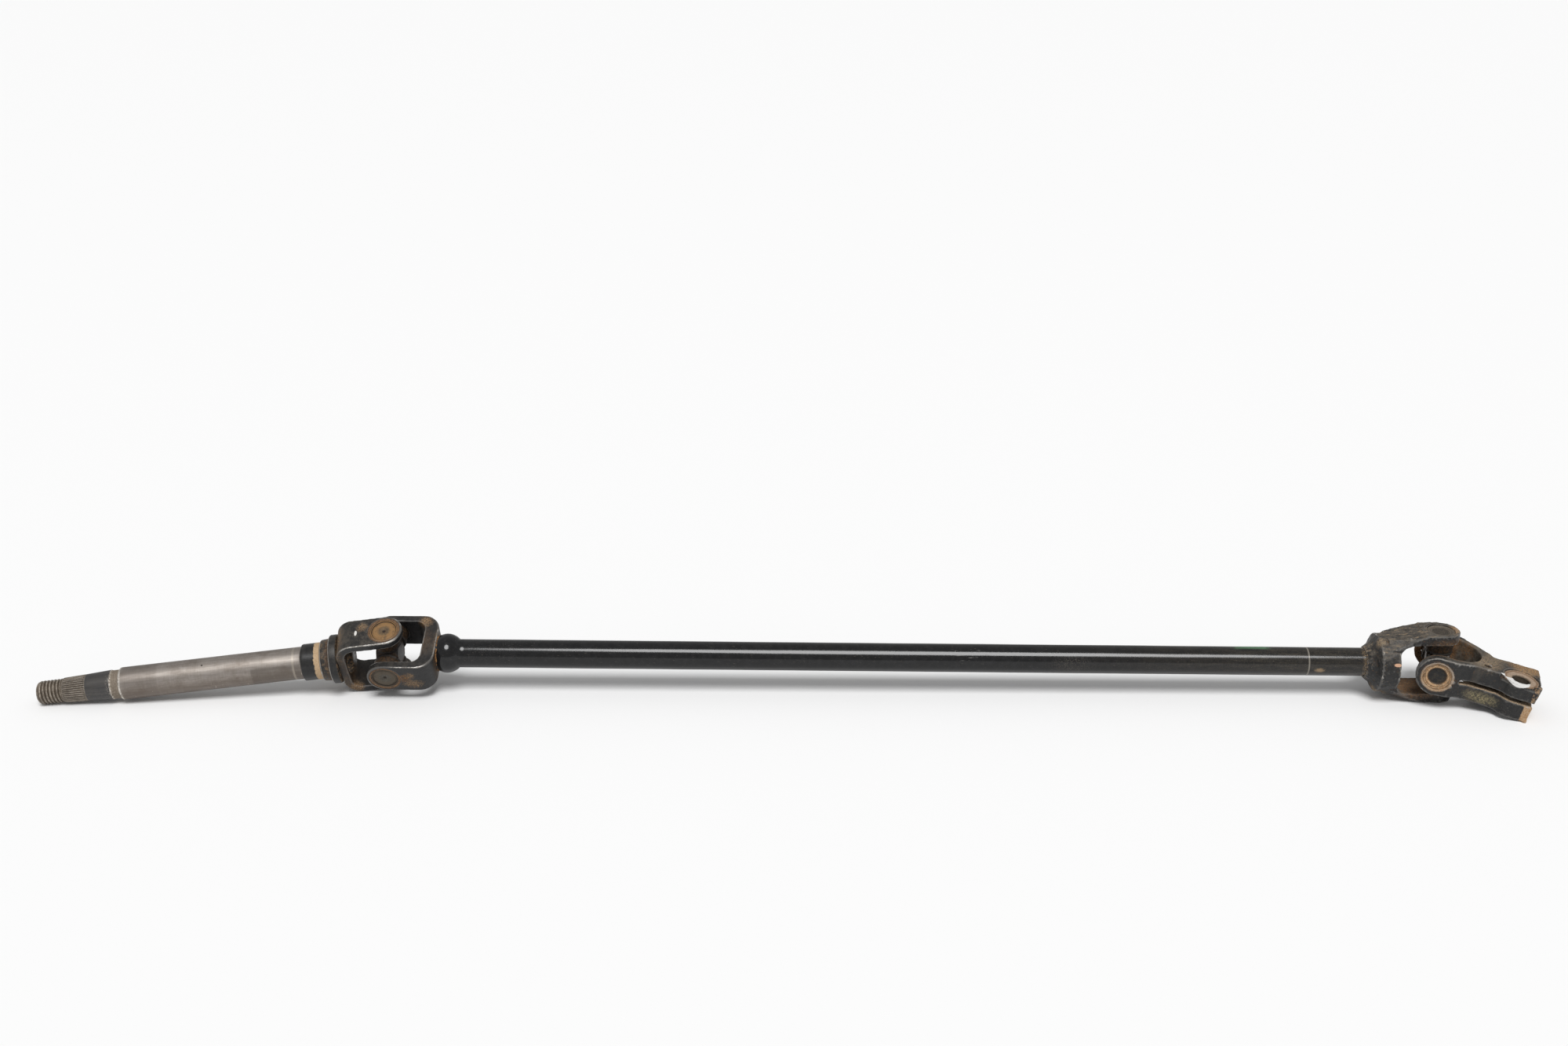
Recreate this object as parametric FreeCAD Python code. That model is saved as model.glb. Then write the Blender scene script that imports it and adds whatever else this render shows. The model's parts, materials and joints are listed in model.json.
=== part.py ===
import FreeCAD, Part
import math
import os
from FreeCAD import Matrix, Placement, Rotation, Vector

# Steering stem shaft: a turned column shaft, a long tube and a clamp yoke,
# joined end to end by two cardan joints. Lengths are millimetres.

# Joint spacing along the tube
JOINT_SPACING = 627.0

# Universal joint crosses and their bearings
CUP_RADIUS = 8.0
CUP_OUTER_END = 20.0
CUP_LENGTH = 10.6
CUP_WALL = 1.2
CUP_SIDES = 32
CUP_END_WALL = 1.4
TRUNNION_END_GAP = 0.2
TRUNNION_SIDES = 24
NEEDLE_RADIUS = 1.0
NEEDLE_COUNT = 12
NEEDLE_SIDES = 6
NEEDLE_LENGTH = 7.6
NEEDLE_END_GAP = 0.5
RUNNING_CLEARANCE = 0.05
SEAL_WIDTH = 1.4
SEAL_SIDES = 12
SEAL_INSET = 0.3
SEAL_SHOULDER_GAP = 0.3
CROSS_HUB_CORNER = 3.0
CROSS_HUB_HALF_HEIGHT = 6.6

# Folded strip yokes at the upper joint
STRIP_THICKNESS = 4.8
STRIP_HALF_SPAN = 20.5
STRIP_EAR_WALL = 2.7
STRIP_BEND_RADIUS = 10.2
STRIP_INNER_BEND = 5.8
UPPER_YOKE_BASE = 29.5
UPPER_BASE_THICKNESS = 4.8
TUBE_YOKE_BASE = 29.0
TUBE_BASE_THICKNESS = 8.4

# Forged yoke on the far end of the tube
LOWER_HALF_SPAN = 21.6
LOWER_EAR_INNER = 15.4
LOWER_EAR_WALL = 2.8
LOWER_EAR_STEP = 0.8
LOWER_FORK_DEPTH = 26.4
LOWER_ARM_HALF_WIDTH = 12.4
LOWER_ARM_ROOT = 32.5
LOWER_HUB_RADIUS = 17.4
LOWER_HUB_END = 39.5
LOWER_HUB_RIM = 2.4
LOWER_WELD_RADIUS = 12.4
LOWER_WELD_LENGTH = 5.0

# Forged clamp yoke
CLAMP_HALF_SPAN = 21.2
CLAMP_EAR_INNER = 15.3
CLAMP_EAR_WALL = 4.0
CLAMP_FORK_DEPTH = 22.6
CLAMP_LENGTH = 56.0
CLAMP_HUB_RADIUS = 12.8
CLAMP_TOP = 12.2
CLAMP_BOTTOM = 11.4
CLAMP_END_SLANT = 1.9
CLAMP_BORE_RADIUS = 7.6
CLAMP_WAIST = 16.6
CLAMP_LUG_FRONT = 21.8
CLAMP_SLOT_WIDTH = 2.4
CLAMP_SLOT_START = 12.5
PINCH_HOLE_RADIUS = 5.1
PINCH_HOLE_FROM_END = 11.0
PINCH_HOLE_OFFSET = 13.5
SPOT_FACE_RADIUS = 10.0
SPOT_FACE_DEPTH = 1.4
PIT_RADIUS = 2.2
PIT_DEPTH = 3.5

# Column shaft, distances from the upper joint centre
SPIGOT_RADIUS = 8.0
RIVET_RADIUS = 10.2
RIVET_HEIGHT = 3.4
SHOULDER_RADIUS = 14.6
SHOULDER_STEP_RADIUS = 12.6
SHOULDER_STEP = 34.5
SHOULDER_END = 40.4
COLLAR_RADIUS = 11.0
COLLAR_END = 51.9
JOURNAL_RADIUS = 9.7
JOURNAL_END = 159.4
GROOVE_RADIUS = 8.7
GROOVE_END = 164.5
TAPER_START_RADIUS = 8.9
SERRATION_START = 179.2
SERRATION_RADIUS = 8.0
SERRATION_END = 192.6
SERRATION_END_RADIUS = 7.4
SERRATION_TEETH = 36
SERRATION_DEPTH = 0.45
THREAD_RADIUS = 7.0
SHAFT_END = 208.5
TIP_CHAMFER = 2.2

# Intermediate tube, distances from the upper joint centre
TUBE_RADIUS = 8.5
TUBE_WALL = 2.6
NECK_RADIUS = 11.8
NECK_LENGTH = 8.2
NECK_TAPER = 3.4
NECK_SPIGOT_LENGTH = 3.4

# How the assembly lies on the floor
TUBE_YOKE_ROLL_DEG = 24.5
COLUMN_SWING_DEG = 5.8
CLAMP_SWING_DEG = 17.0

STRIP_EAR_RADIUS = CUP_RADIUS + STRIP_EAR_WALL
LOWER_EAR_RADIUS = CUP_RADIUS + LOWER_EAR_WALL
CLAMP_EAR_RADIUS = CUP_RADIUS + CLAMP_EAR_WALL
CUP_INNER_END = CUP_OUTER_END - CUP_LENGTH
CUP_BORE_RADIUS = CUP_RADIUS - CUP_WALL
TRUNNION_END = CUP_OUTER_END - CUP_END_WALL - TRUNNION_END_GAP
CROSS_HUB_HALF_WIDTH = CUP_INNER_END - SEAL_WIDTH - SEAL_SHOULDER_GAP
TRUNNION_RADIUS = CUP_BORE_RADIUS - 2 * (NEEDLE_RADIUS + RUNNING_CLEARANCE)
TUBE_END = JOINT_SPACING - LOWER_HUB_END - 1.0
LONG_TAPER = 8.0
ORIGIN = Vector(0, 0, 0)
X_AXIS = Vector(1, 0, 0)
Y_AXIS = Vector(0, 1, 0)
Z_AXIS = Vector(0, 0, 1)


def placed_frame(origin, x_axis, y_axis):
    """Placement whose X and Y run along the given directions."""
    x_dir = Vector(x_axis).normalize()
    z_dir = x_dir.cross(y_axis).normalize()
    y_dir = z_dir.cross(x_dir)
    columns = Matrix(
        x_dir.x, y_dir.x, z_dir.x, origin.x,
        x_dir.y, y_dir.y, z_dir.y, origin.y,
        x_dir.z, y_dir.z, z_dir.z, origin.z,
        0, 0, 0, 1)
    return Placement(columns)


def moved(shape, placement):
    """Copy of a shape carried from its own frame by a placement."""
    copy = shape.copy()
    copy.Placement = placement.multiply(copy.Placement)
    return copy


def point(x, y, z=0.0):
    return Vector(x, y, z)


def outline(points):
    """Closed wire through points; a tuple (middle, end) adds an arc."""
    edges = []
    last = points[0]
    for item in points[1:] + [points[0]]:
        if isinstance(item, tuple):
            middle, end = item
            edges.append(Part.Arc(last, middle, end).toShape())
            last = end
        else:
            edges.append(Part.LineSegment(last, item).toShape())
            last = item
    return Part.Wire(edges)


def prism(wire, direction, half_height):
    """Solid of a flat outline, extruded equally to both sides."""
    face = Part.Face(wire)
    face.translate(direction * -half_height)
    return face.extrude(direction * (2 * half_height))


def corner_arc(center, radius, start_deg, end_deg):
    """Middle and end of an arc about a centre in the XY plane."""
    def at(angle_deg):
        angle = math.radians(angle_deg)
        return center + Vector(math.cos(angle), math.sin(angle), 0) * radius
    return (at((start_deg + end_deg) / 2), at(end_deg))


def profile_edge(start, end):
    """Straight edge of a turned profile; a long taper is a two point curve."""
    if start.x == end.x or start.y == end.y or abs(end.x - start.x) < LONG_TAPER:
        return Part.LineSegment(start, end).toShape()
    curve = Part.BezierCurve()
    curve.setPoles([start, end])
    return curve.toShape()


def revolved(profile):
    """Solid turned about the X axis from (x, radius) pairs."""
    corners = [point(x, r) for x, r in profile + profile[:1]]
    edges = [profile_edge(*pair) for pair in zip(corners, corners[1:])]
    return Part.Face(Part.Wire(edges)).revolve(ORIGIN, X_AXIS, 360)


def cone_envelope(profile):
    """Plain cones turned about the X axis, for rounding a forging."""
    wire = Part.makePolygon([point(x, r) for x, r in profile + profile[:1]])
    return Part.Face(wire).revolve(ORIGIN, X_AXIS, 360)


def flat_sided(sides, inner_radius, start, end):
    """Prism along Y whose flats touch a circle of the inner radius."""
    return many_cornered(sides, inner_radius / math.cos(math.pi / sides), start, end)


def many_cornered(sides, corner, start, end):
    """Prism along Y whose corners lie on a circle of the given radius."""
    corners = []
    for side in range(sides + 1):
        angle = math.pi * (2 * side + 1) / sides
        corners.append(Vector(corner * math.cos(angle), start, corner * math.sin(angle)))
    return Part.Face(Part.makePolygon(corners)).extrude(Y_AXIS * (end - start))


def cylinder_x(radius, start, end):
    return Part.makeCylinder(radius, end - start, point(start, 0), X_AXIS)


def cylinder_y(radius, start, end):
    return Part.makeCylinder(radius, end - start, point(0, start), Y_AXIS)


def ear_plan(radius, reach):
    """Side outline of a fork arm: round ear, straight arm of equal width."""
    start = Vector(0, 0, radius)
    return outline([
        start,
        (Vector(-radius, 0, 0), Vector(0, 0, -radius)),
        Vector(reach, 0, -radius),
        Vector(reach, 0, radius)])


def strip_section(base, base_thickness):
    """U section of a folded strip, open towards negative X."""
    tip = -STRIP_EAR_RADIUS
    span = STRIP_HALF_SPAN
    face = span - STRIP_THICKNESS
    bend = STRIP_BEND_RADIUS
    inner = STRIP_INNER_BEND
    floor = base - base_thickness
    upper = point(base - bend, span - bend)
    upper_inner = point(floor - inner, face - inner)
    lower = point(upper.x, -upper.y)
    lower_inner = point(upper_inner.x, -upper_inner.y)
    return outline([
        point(tip, span),
        point(upper.x, span),
        corner_arc(upper, bend, 90, 0),
        point(base, lower.y),
        corner_arc(lower, bend, 0, -90),
        point(tip, -span),
        point(tip, -face),
        point(lower_inner.x, -face),
        corner_arc(lower_inner, inner, -90, 0),
        point(floor, upper_inner.y),
        corner_arc(upper_inner, inner, 0, 90),
        point(tip, face)])


def strip_yoke(base, base_thickness):
    """Yoke folded from flat strip, with round ears and a base hole."""
    body = prism(strip_section(base, base_thickness), Z_AXIS, STRIP_EAR_RADIUS)
    plan = prism(ear_plan(STRIP_EAR_RADIUS, base + 1), Y_AXIS, STRIP_HALF_SPAN + 1)
    body = body.common(plan)
    cup_hole = cylinder_y(CUP_RADIUS, -STRIP_HALF_SPAN - 1, STRIP_HALF_SPAN + 1)
    base_hole = cylinder_x(SPIGOT_RADIUS, base - base_thickness - 1, base + 1)
    return body.cut(cup_hole.fuse(base_hole))


def lower_fork_section():
    """Side section of the forged fork, mirrored about the shaft axis."""
    ear = LOWER_HALF_SPAN
    arm = ear - LOWER_EAR_STEP
    step = LOWER_EAR_RADIUS + 1
    crotch = LOWER_FORK_DEPTH
    bend = LOWER_EAR_INNER / 2
    upper_bend = point(crotch - bend, LOWER_EAR_INNER - bend)
    lower_bend = point(crotch - bend, bend - LOWER_EAR_INNER)
    root = LOWER_ARM_ROOT
    root_half = LOWER_HUB_RADIUS
    return outline([
        point(-LOWER_EAR_RADIUS, ear),
        point(step - LOWER_EAR_STEP, ear),
        point(step, arm),
        point(root, root_half),
        point(root, -root_half),
        point(step, -arm),
        point(step - LOWER_EAR_STEP, -ear),
        point(-LOWER_EAR_RADIUS, -ear),
        point(-LOWER_EAR_RADIUS, -LOWER_EAR_INNER),
        point(lower_bend.x, -LOWER_EAR_INNER),
        corner_arc(lower_bend, bend, -90, 0),
        point(crotch, upper_bend.y),
        corner_arc(upper_bend, bend, 0, 90),
        point(-LOWER_EAR_RADIUS, LOWER_EAR_INNER)])


def lower_fork_plan():
    """Outline of the forged fork along its ears: narrow ear, wide root."""
    ear = LOWER_EAR_RADIUS
    root = LOWER_ARM_ROOT
    side = LOWER_ARM_HALF_WIDTH
    return outline([
        Vector(0, 0, ear),
        (Vector(-ear, 0, 0), Vector(0, 0, -ear)),
        Vector(ear, 0, -ear),
        Vector(LOWER_FORK_DEPTH, 0, -side),
        Vector(root, 0, -side),
        Vector(root, 0, side),
        Vector(LOWER_FORK_DEPTH, 0, side),
        Vector(ear, 0, ear)])


def diamond(x, reach):
    """Square outline across the shaft, with its corners on Y and Z."""
    corners = [point(x, reach), point(x, 0, reach), point(x, -reach), point(x, 0, -reach)]
    return Part.makePolygon(corners + corners[:1])


def lower_fork_envelope():
    """Four flats that bevel the fork arms down to the round of the hub."""
    ear_reach = LOWER_HALF_SPAN + LOWER_EAR_RADIUS
    return Part.makeLoft([
        diamond(-LOWER_EAR_RADIUS - 1, ear_reach),
        diamond(LOWER_EAR_RADIUS, ear_reach),
        diamond(LOWER_ARM_ROOT, LOWER_HUB_RADIUS * math.sqrt(2))], True, True)


def lower_yoke():
    """Forged yoke whose round hub is welded on the end of the tube."""
    fork = prism(lower_fork_section(), Z_AXIS, LOWER_ARM_HALF_WIDTH + 1)
    fork = fork.common(prism(lower_fork_plan(), Y_AXIS, LOWER_HALF_SPAN + 1))
    fork = fork.common(lower_fork_envelope())
    weld_end = LOWER_HUB_END + LOWER_WELD_LENGTH
    hub = revolved([
        (LOWER_FORK_DEPTH, 0),
        (LOWER_FORK_DEPTH, LOWER_HUB_RADIUS),
        (LOWER_HUB_END - LOWER_HUB_RIM, LOWER_HUB_RADIUS),
        (LOWER_HUB_END, LOWER_WELD_RADIUS),
        (weld_end, TUBE_RADIUS),
        (weld_end, 0)])
    body = fork.fuse(hub)
    cup_hole = cylinder_y(CUP_RADIUS, -LOWER_HALF_SPAN - 1, LOWER_HALF_SPAN + 1)
    tube_socket = cylinder_x(TUBE_RADIUS, JOINT_SPACING - TUBE_END, weld_end + 1)
    return body.cut(cup_hole.fuse(tube_socket))


def clamp_top_outline():
    """Outline of the clamp yoke from above; negative Y is the slotted side."""
    ear = CLAMP_EAR_RADIUS
    crotch_start = CLAMP_FORK_DEPTH - CLAMP_EAR_INNER
    lug_start = CLAMP_LENGTH - PINCH_HOLE_FROM_END - SPOT_FACE_RADIUS + 2
    swell = (CLAMP_WAIST + CLAMP_LUG_FRONT) / 2
    return outline([
        point(-ear, -CLAMP_HALF_SPAN),
        point(ear - 4, -CLAMP_HALF_SPAN),
        point(ear + 7, -CLAMP_WAIST),
        point(lug_start - 5, -CLAMP_WAIST),
        (point(lug_start - 1.4, -CLAMP_WAIST - 0.8), point(lug_start + 1, -swell)),
        (point(lug_start + 3.4, -CLAMP_LUG_FRONT + 0.8), point(lug_start + 7, -CLAMP_LUG_FRONT)),
        point(CLAMP_LENGTH + 1, -CLAMP_LUG_FRONT),
        point(CLAMP_LENGTH + 1, CLAMP_HUB_RADIUS),
        point(CLAMP_FORK_DEPTH + 7, CLAMP_HUB_RADIUS),
        point(ear - 2, CLAMP_HALF_SPAN),
        point(-ear, CLAMP_HALF_SPAN),
        point(-ear, CLAMP_EAR_INNER),
        point(crotch_start, CLAMP_EAR_INNER),
        (point(CLAMP_FORK_DEPTH, 0), point(crotch_start, -CLAMP_EAR_INNER)),
        point(-ear, -CLAMP_EAR_INNER)])


def clamp_side_outline():
    """Outline of the clamp yoke from the side: round ear, straight body."""
    ear = CLAMP_EAR_RADIUS
    waist = ear - 1.4
    return outline([
        Vector(0, 0, ear),
        (Vector(-ear, 0, 0), Vector(0, 0, -ear)),
        Vector(ear, 0, -waist),
        Vector(CLAMP_LENGTH - 18, 0, -CLAMP_BOTTOM),
        Vector(CLAMP_LENGTH - CLAMP_END_SLANT, 0, -CLAMP_BOTTOM),
        Vector(CLAMP_LENGTH, 0, CLAMP_TOP),
        Vector(CLAMP_FORK_DEPTH, 0, CLAMP_TOP)])


def clamp_back_envelope():
    """Round back of the clamp hub, widening to clear the fork ears."""
    corner = math.hypot(CLAMP_HALF_SPAN, CLAMP_EAR_RADIUS) + 1
    round_back = cone_envelope([
        (-CLAMP_EAR_RADIUS - 1, 0),
        (-CLAMP_EAR_RADIUS - 1, corner),
        (CLAMP_EAR_RADIUS - 3, corner),
        (CLAMP_FORK_DEPTH + 7, CLAMP_HUB_RADIUS),
        (CLAMP_LENGTH + 1, CLAMP_HUB_RADIUS),
        (CLAMP_LENGTH + 1, 0)])
    depth = CLAMP_HALF_SPAN + 2
    front = Part.makeBox(
        CLAMP_LENGTH + CLAMP_EAR_RADIUS + 2, depth, 2 * corner,
        Vector(-CLAMP_EAR_RADIUS - 1, -depth, -corner))
    return round_back.fuse(front)


def clamp_cuts():
    """Bore, slot, pinch bolt hole, spot face and pit of the clamp yoke."""
    bolt_x = CLAMP_LENGTH - PINCH_HOLE_FROM_END
    top = CLAMP_TOP + 1
    cup_hole = cylinder_y(CUP_RADIUS, -CLAMP_HALF_SPAN - 1, CLAMP_HALF_SPAN + 1)
    bore = cylinder_x(CLAMP_BORE_RADIUS, 0, CLAMP_LENGTH + 1)
    slot = Part.makeBox(
        CLAMP_LENGTH, CLAMP_LUG_FRONT + 2, CLAMP_SLOT_WIDTH,
        Vector(CLAMP_SLOT_START, -CLAMP_LUG_FRONT - 2, -CLAMP_SLOT_WIDTH / 2))
    bolt = Part.makeCylinder(
        PINCH_HOLE_RADIUS, 2 * top, Vector(bolt_x, -PINCH_HOLE_OFFSET, -top), Z_AXIS)
    spot = Part.makeCylinder(
        SPOT_FACE_RADIUS, SPOT_FACE_DEPTH + 1,
        Vector(bolt_x, -PINCH_HOLE_OFFSET, CLAMP_TOP - SPOT_FACE_DEPTH), Z_AXIS)
    pit = Part.makeCylinder(
        PIT_RADIUS, PIT_DEPTH + 1,
        Vector(CLAMP_FORK_DEPTH + 3, -CLAMP_WAIST / 2 - 3, CLAMP_TOP - PIT_DEPTH), Z_AXIS)
    return [cup_hole, bore, slot, bolt, spot, pit]


def clamp_yoke():
    """Forged clamp yoke, slotted along its front for a pinch bolt."""
    body = prism(clamp_top_outline(), Z_AXIS, CLAMP_EAR_RADIUS + 2)
    body = body.common(prism(clamp_side_outline(), Y_AXIS, CLAMP_LUG_FRONT + 2))
    body = body.common(clamp_back_envelope())
    for tool in clamp_cuts():
        body = body.cut(tool)
    return body.removeSplitter()


def serration_wire(x, radius):
    """Star outline of the serration at one end of its taper."""
    corners = []
    for step in range(2 * SERRATION_TEETH + 1):
        angle = math.pi * step / SERRATION_TEETH
        reach = radius - SERRATION_DEPTH * (step % 2)
        corners.append(Vector(x, reach * math.cos(angle), reach * math.sin(angle)))
    return Part.makePolygon(corners)


def column_shaft():
    """Turned shaft: spigot, shoulder, journal, groove, serration, thread."""
    inner = UPPER_YOKE_BASE - UPPER_BASE_THICKNESS
    lower_part = revolved([
        (inner - RIVET_HEIGHT, 0),
        (inner - RIVET_HEIGHT, RIVET_RADIUS - RIVET_HEIGHT),
        (inner, RIVET_RADIUS),
        (inner, SPIGOT_RADIUS),
        (UPPER_YOKE_BASE, SPIGOT_RADIUS),
        (UPPER_YOKE_BASE, SHOULDER_RADIUS),
        (SHOULDER_STEP, SHOULDER_RADIUS),
        (SHOULDER_STEP, SHOULDER_STEP_RADIUS),
        (SHOULDER_END, SHOULDER_STEP_RADIUS),
        (SHOULDER_END, COLLAR_RADIUS),
        (COLLAR_END, COLLAR_RADIUS),
        (COLLAR_END, JOURNAL_RADIUS),
        (JOURNAL_END, JOURNAL_RADIUS),
        (JOURNAL_END, GROOVE_RADIUS),
        (GROOVE_END, GROOVE_RADIUS),
        (GROOVE_END, TAPER_START_RADIUS),
        (SERRATION_START, SERRATION_RADIUS),
        (SERRATION_START, 0)])
    serration = Part.makeLoft([
        serration_wire(SERRATION_START, SERRATION_RADIUS),
        serration_wire(SERRATION_END, SERRATION_END_RADIUS)], True, True)
    threaded_end = revolved([
        (SERRATION_END, 0),
        (SERRATION_END, THREAD_RADIUS - 0.6),
        (SERRATION_END + 0.6, THREAD_RADIUS),
        (SHAFT_END - TIP_CHAMFER, THREAD_RADIUS),
        (SHAFT_END, THREAD_RADIUS - TIP_CHAMFER),
        (SHAFT_END, 0)])
    return lower_part.fuse([serration, threaded_end])


def intermediate_tube():
    """Long tube with a bulged neck at the upper yoke and open far end."""
    bore = TUBE_RADIUS - TUBE_WALL
    neck_end = TUBE_YOKE_BASE + NECK_LENGTH
    spigot_start = TUBE_YOKE_BASE - NECK_SPIGOT_LENGTH
    return revolved([
        (spigot_start, bore),
        (spigot_start, SPIGOT_RADIUS),
        (TUBE_YOKE_BASE, SPIGOT_RADIUS),
        (TUBE_YOKE_BASE, NECK_RADIUS - 2.2),
        (TUBE_YOKE_BASE + 1.8, NECK_RADIUS - 0.5),
        (TUBE_YOKE_BASE + NECK_LENGTH / 2, NECK_RADIUS),
        (neck_end - 1.6, NECK_RADIUS - 0.7),
        (neck_end + NECK_TAPER, TUBE_RADIUS),
        (TUBE_END, TUBE_RADIUS),
        (TUBE_END, bore)])


def joint_cross():
    """Forged cross: chamfered square hub, four trunnions along Y and Z."""
    half = CROSS_HUB_HALF_WIDTH
    cut = half - CROSS_HUB_CORNER
    corners = [(half, cut), (cut, half), (-cut, half), (-half, cut),
               (-half, -cut), (-cut, -half), (cut, -half), (half, -cut)]
    wire = Part.makePolygon([Vector(0, y, z) for y, z in corners + corners[:1]])
    hub = prism(wire, X_AXIS, CROSS_HUB_HALF_HEIGHT)
    along_y = many_cornered(TRUNNION_SIDES, TRUNNION_RADIUS, -TRUNNION_END, TRUNNION_END)
    along_z = moved(along_y, Placement(ORIGIN, Rotation(X_AXIS, 90)))
    return hub.fuse([along_y, along_z])


def bearing_cup():
    """Drawn bearing cup on positive Y, with one inner flat per roller."""
    shell = many_cornered(CUP_SIDES, CUP_RADIUS, CUP_INNER_END, CUP_OUTER_END)
    bore = flat_sided(NEEDLE_COUNT, CUP_BORE_RADIUS, CUP_INNER_END, CUP_OUTER_END - CUP_END_WALL)
    return shell.cut(bore)


def bearing_seal():
    """Rubber ring on the open end of a bearing cup."""
    start = CUP_INNER_END - SEAL_WIDTH
    ring = flat_sided(SEAL_SIDES, CUP_RADIUS - SEAL_INSET, start, CUP_INNER_END)
    hole = flat_sided(SEAL_SIDES, TRUNNION_RADIUS + RUNNING_CLEARANCE, start, CUP_INNER_END)
    return ring.cut(hole)


def needle_rollers():
    """Full ring of loose rollers, drawn with flat sides to stay light."""
    pitch_radius = CUP_BORE_RADIUS - RUNNING_CLEARANCE - NEEDLE_RADIUS
    start = CUP_INNER_END + NEEDLE_END_GAP
    rollers = []
    for index in range(NEEDLE_COUNT):
        turn = 360 * index / NEEDLE_COUNT
        roller = many_cornered(NEEDLE_SIDES, NEEDLE_RADIUS, start, start + NEEDLE_LENGTH)
        roller.rotate(ORIGIN, Y_AXIS, 180 / NEEDLE_SIDES)
        roller.translate(X_AXIS * pitch_radius)
        roller.rotate(ORIGIN, Y_AXIS, turn)
        rollers.append(roller)
    return Part.makeCompound(rollers)


def tilted_down(swing_deg, droop_deg, side):
    """Direction of a swung and drooping shaft; side is -1 or 1 along X."""
    swing = math.radians(swing_deg)
    droop = math.radians(droop_deg)
    level = math.cos(droop)
    return Vector(side * level * math.cos(swing), -level * math.sin(swing), -math.sin(droop))


def lowest(shape):
    return shape.optimalBoundingBox(False, False).ZMin


def rest_droop(shape, height, axis_for, swing_deg, side):
    """Droop at which a hanging shape just reaches the floor."""
    low, high = 0.0, 30.0
    for _ in range(18):
        droop = (low + high) / 2
        direction = tilted_down(swing_deg, droop, side)
        frame = placed_frame(Vector(0, 0, height), direction, axis_for(direction))
        if lowest(moved(shape, frame)) > 0:
            low = droop
        else:
            high = droop
    return low


def tube_frame(upper_height, lower_height):
    """Directions of the tube and of the two cross axes it carries."""
    along = Vector(JOINT_SPACING, 0, lower_height - upper_height).normalize()
    across = Vector(0, -1, 0)
    above = along.cross(Y_AXIS) * -1
    if above.z < 0:
        above = above * -1
    roll = math.radians(-TUBE_YOKE_ROLL_DEG)
    tube_axis = across * math.cos(roll) + above * math.sin(roll)
    return along, tube_axis, above


def upper_cross_axis(direction, tube_axis):
    axis = tube_axis.cross(direction).normalize()
    return axis if axis.z > 0 else axis * -1


def lower_cross_axis(direction, lower_axis):
    axis = lower_axis.cross(direction).normalize()
    return axis if axis.y > 0 else axis * -1


def rest_pose(shapes):
    """Frames of every body with the whole assembly lying on the floor."""
    upper_height = STRIP_HALF_SPAN
    lower_height = LOWER_HALF_SPAN
    column_droop = 5.0
    for _ in range(4):
        along, tube_axis, lower_axis = tube_frame(upper_height, lower_height)
        lower_frame = placed_frame(ORIGIN, along * -1, lower_axis)
        lower_height = -lowest(moved(shapes["lower_yoke"], lower_frame))
        column = tilted_down(COLUMN_SWING_DEG, column_droop, -1)
        column_frame = placed_frame(ORIGIN, column, upper_cross_axis(column, tube_axis))
        upper_height = -lowest(moved(shapes["upper_yoke"], column_frame))
        column_droop = rest_droop(
            shapes["column_shaft"], upper_height,
            lambda d: upper_cross_axis(d, tube_axis), COLUMN_SWING_DEG, -1)
    clamp_droop = rest_droop(
        shapes["clamp_yoke"], lower_height,
        lambda d: lower_cross_axis(d, lower_axis), CLAMP_SWING_DEG, 1)
    column = tilted_down(COLUMN_SWING_DEG, column_droop, -1)
    clamp = tilted_down(CLAMP_SWING_DEG, clamp_droop, 1)
    upper_joint = Vector(0, 0, upper_height)
    lower_joint = upper_joint + along * JOINT_SPACING
    column_axis = upper_cross_axis(column, tube_axis)
    clamp_axis = lower_cross_axis(clamp, lower_axis)
    return {
        "column": placed_frame(upper_joint, column, column_axis),
        "clamp": placed_frame(lower_joint, clamp, clamp_axis),
        "tube_upper": placed_frame(upper_joint, along, tube_axis),
        "tube_lower": placed_frame(lower_joint, along * -1, lower_axis),
        "upper_cross": placed_frame(upper_joint, tube_axis.cross(column_axis), tube_axis),
        "lower_cross": placed_frame(lower_joint, lower_axis.cross(clamp_axis), lower_axis)}


def yoke_bearings(yoke, frame):
    """Cups, seals and rollers in both ears of one yoke, by node name."""
    pieces = {}
    for number, angle in ((1, 0), (2, 180)):
        turned = frame.multiply(Placement(ORIGIN, Rotation(X_AXIS, angle)))
        pieces["%s_cup_%d" % (yoke, number)] = moved(bearing_cup(), turned)
        pieces["%s_seal_%d" % (yoke, number)] = moved(bearing_seal(), turned)
        pieces["%s_needles_%d" % (yoke, number)] = moved(needle_rollers(), turned)
    return pieces


def centred_on_floor(nodes):
    """Shift that puts the middle of the whole footprint over the origin."""
    whole = Part.makeCompound(list(nodes.values())).optimalBoundingBox(False, False)
    return Vector(-(whole.XMin + whole.XMax) / 2, -(whole.YMin + whole.YMax) / 2, -whole.ZMin)


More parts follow.
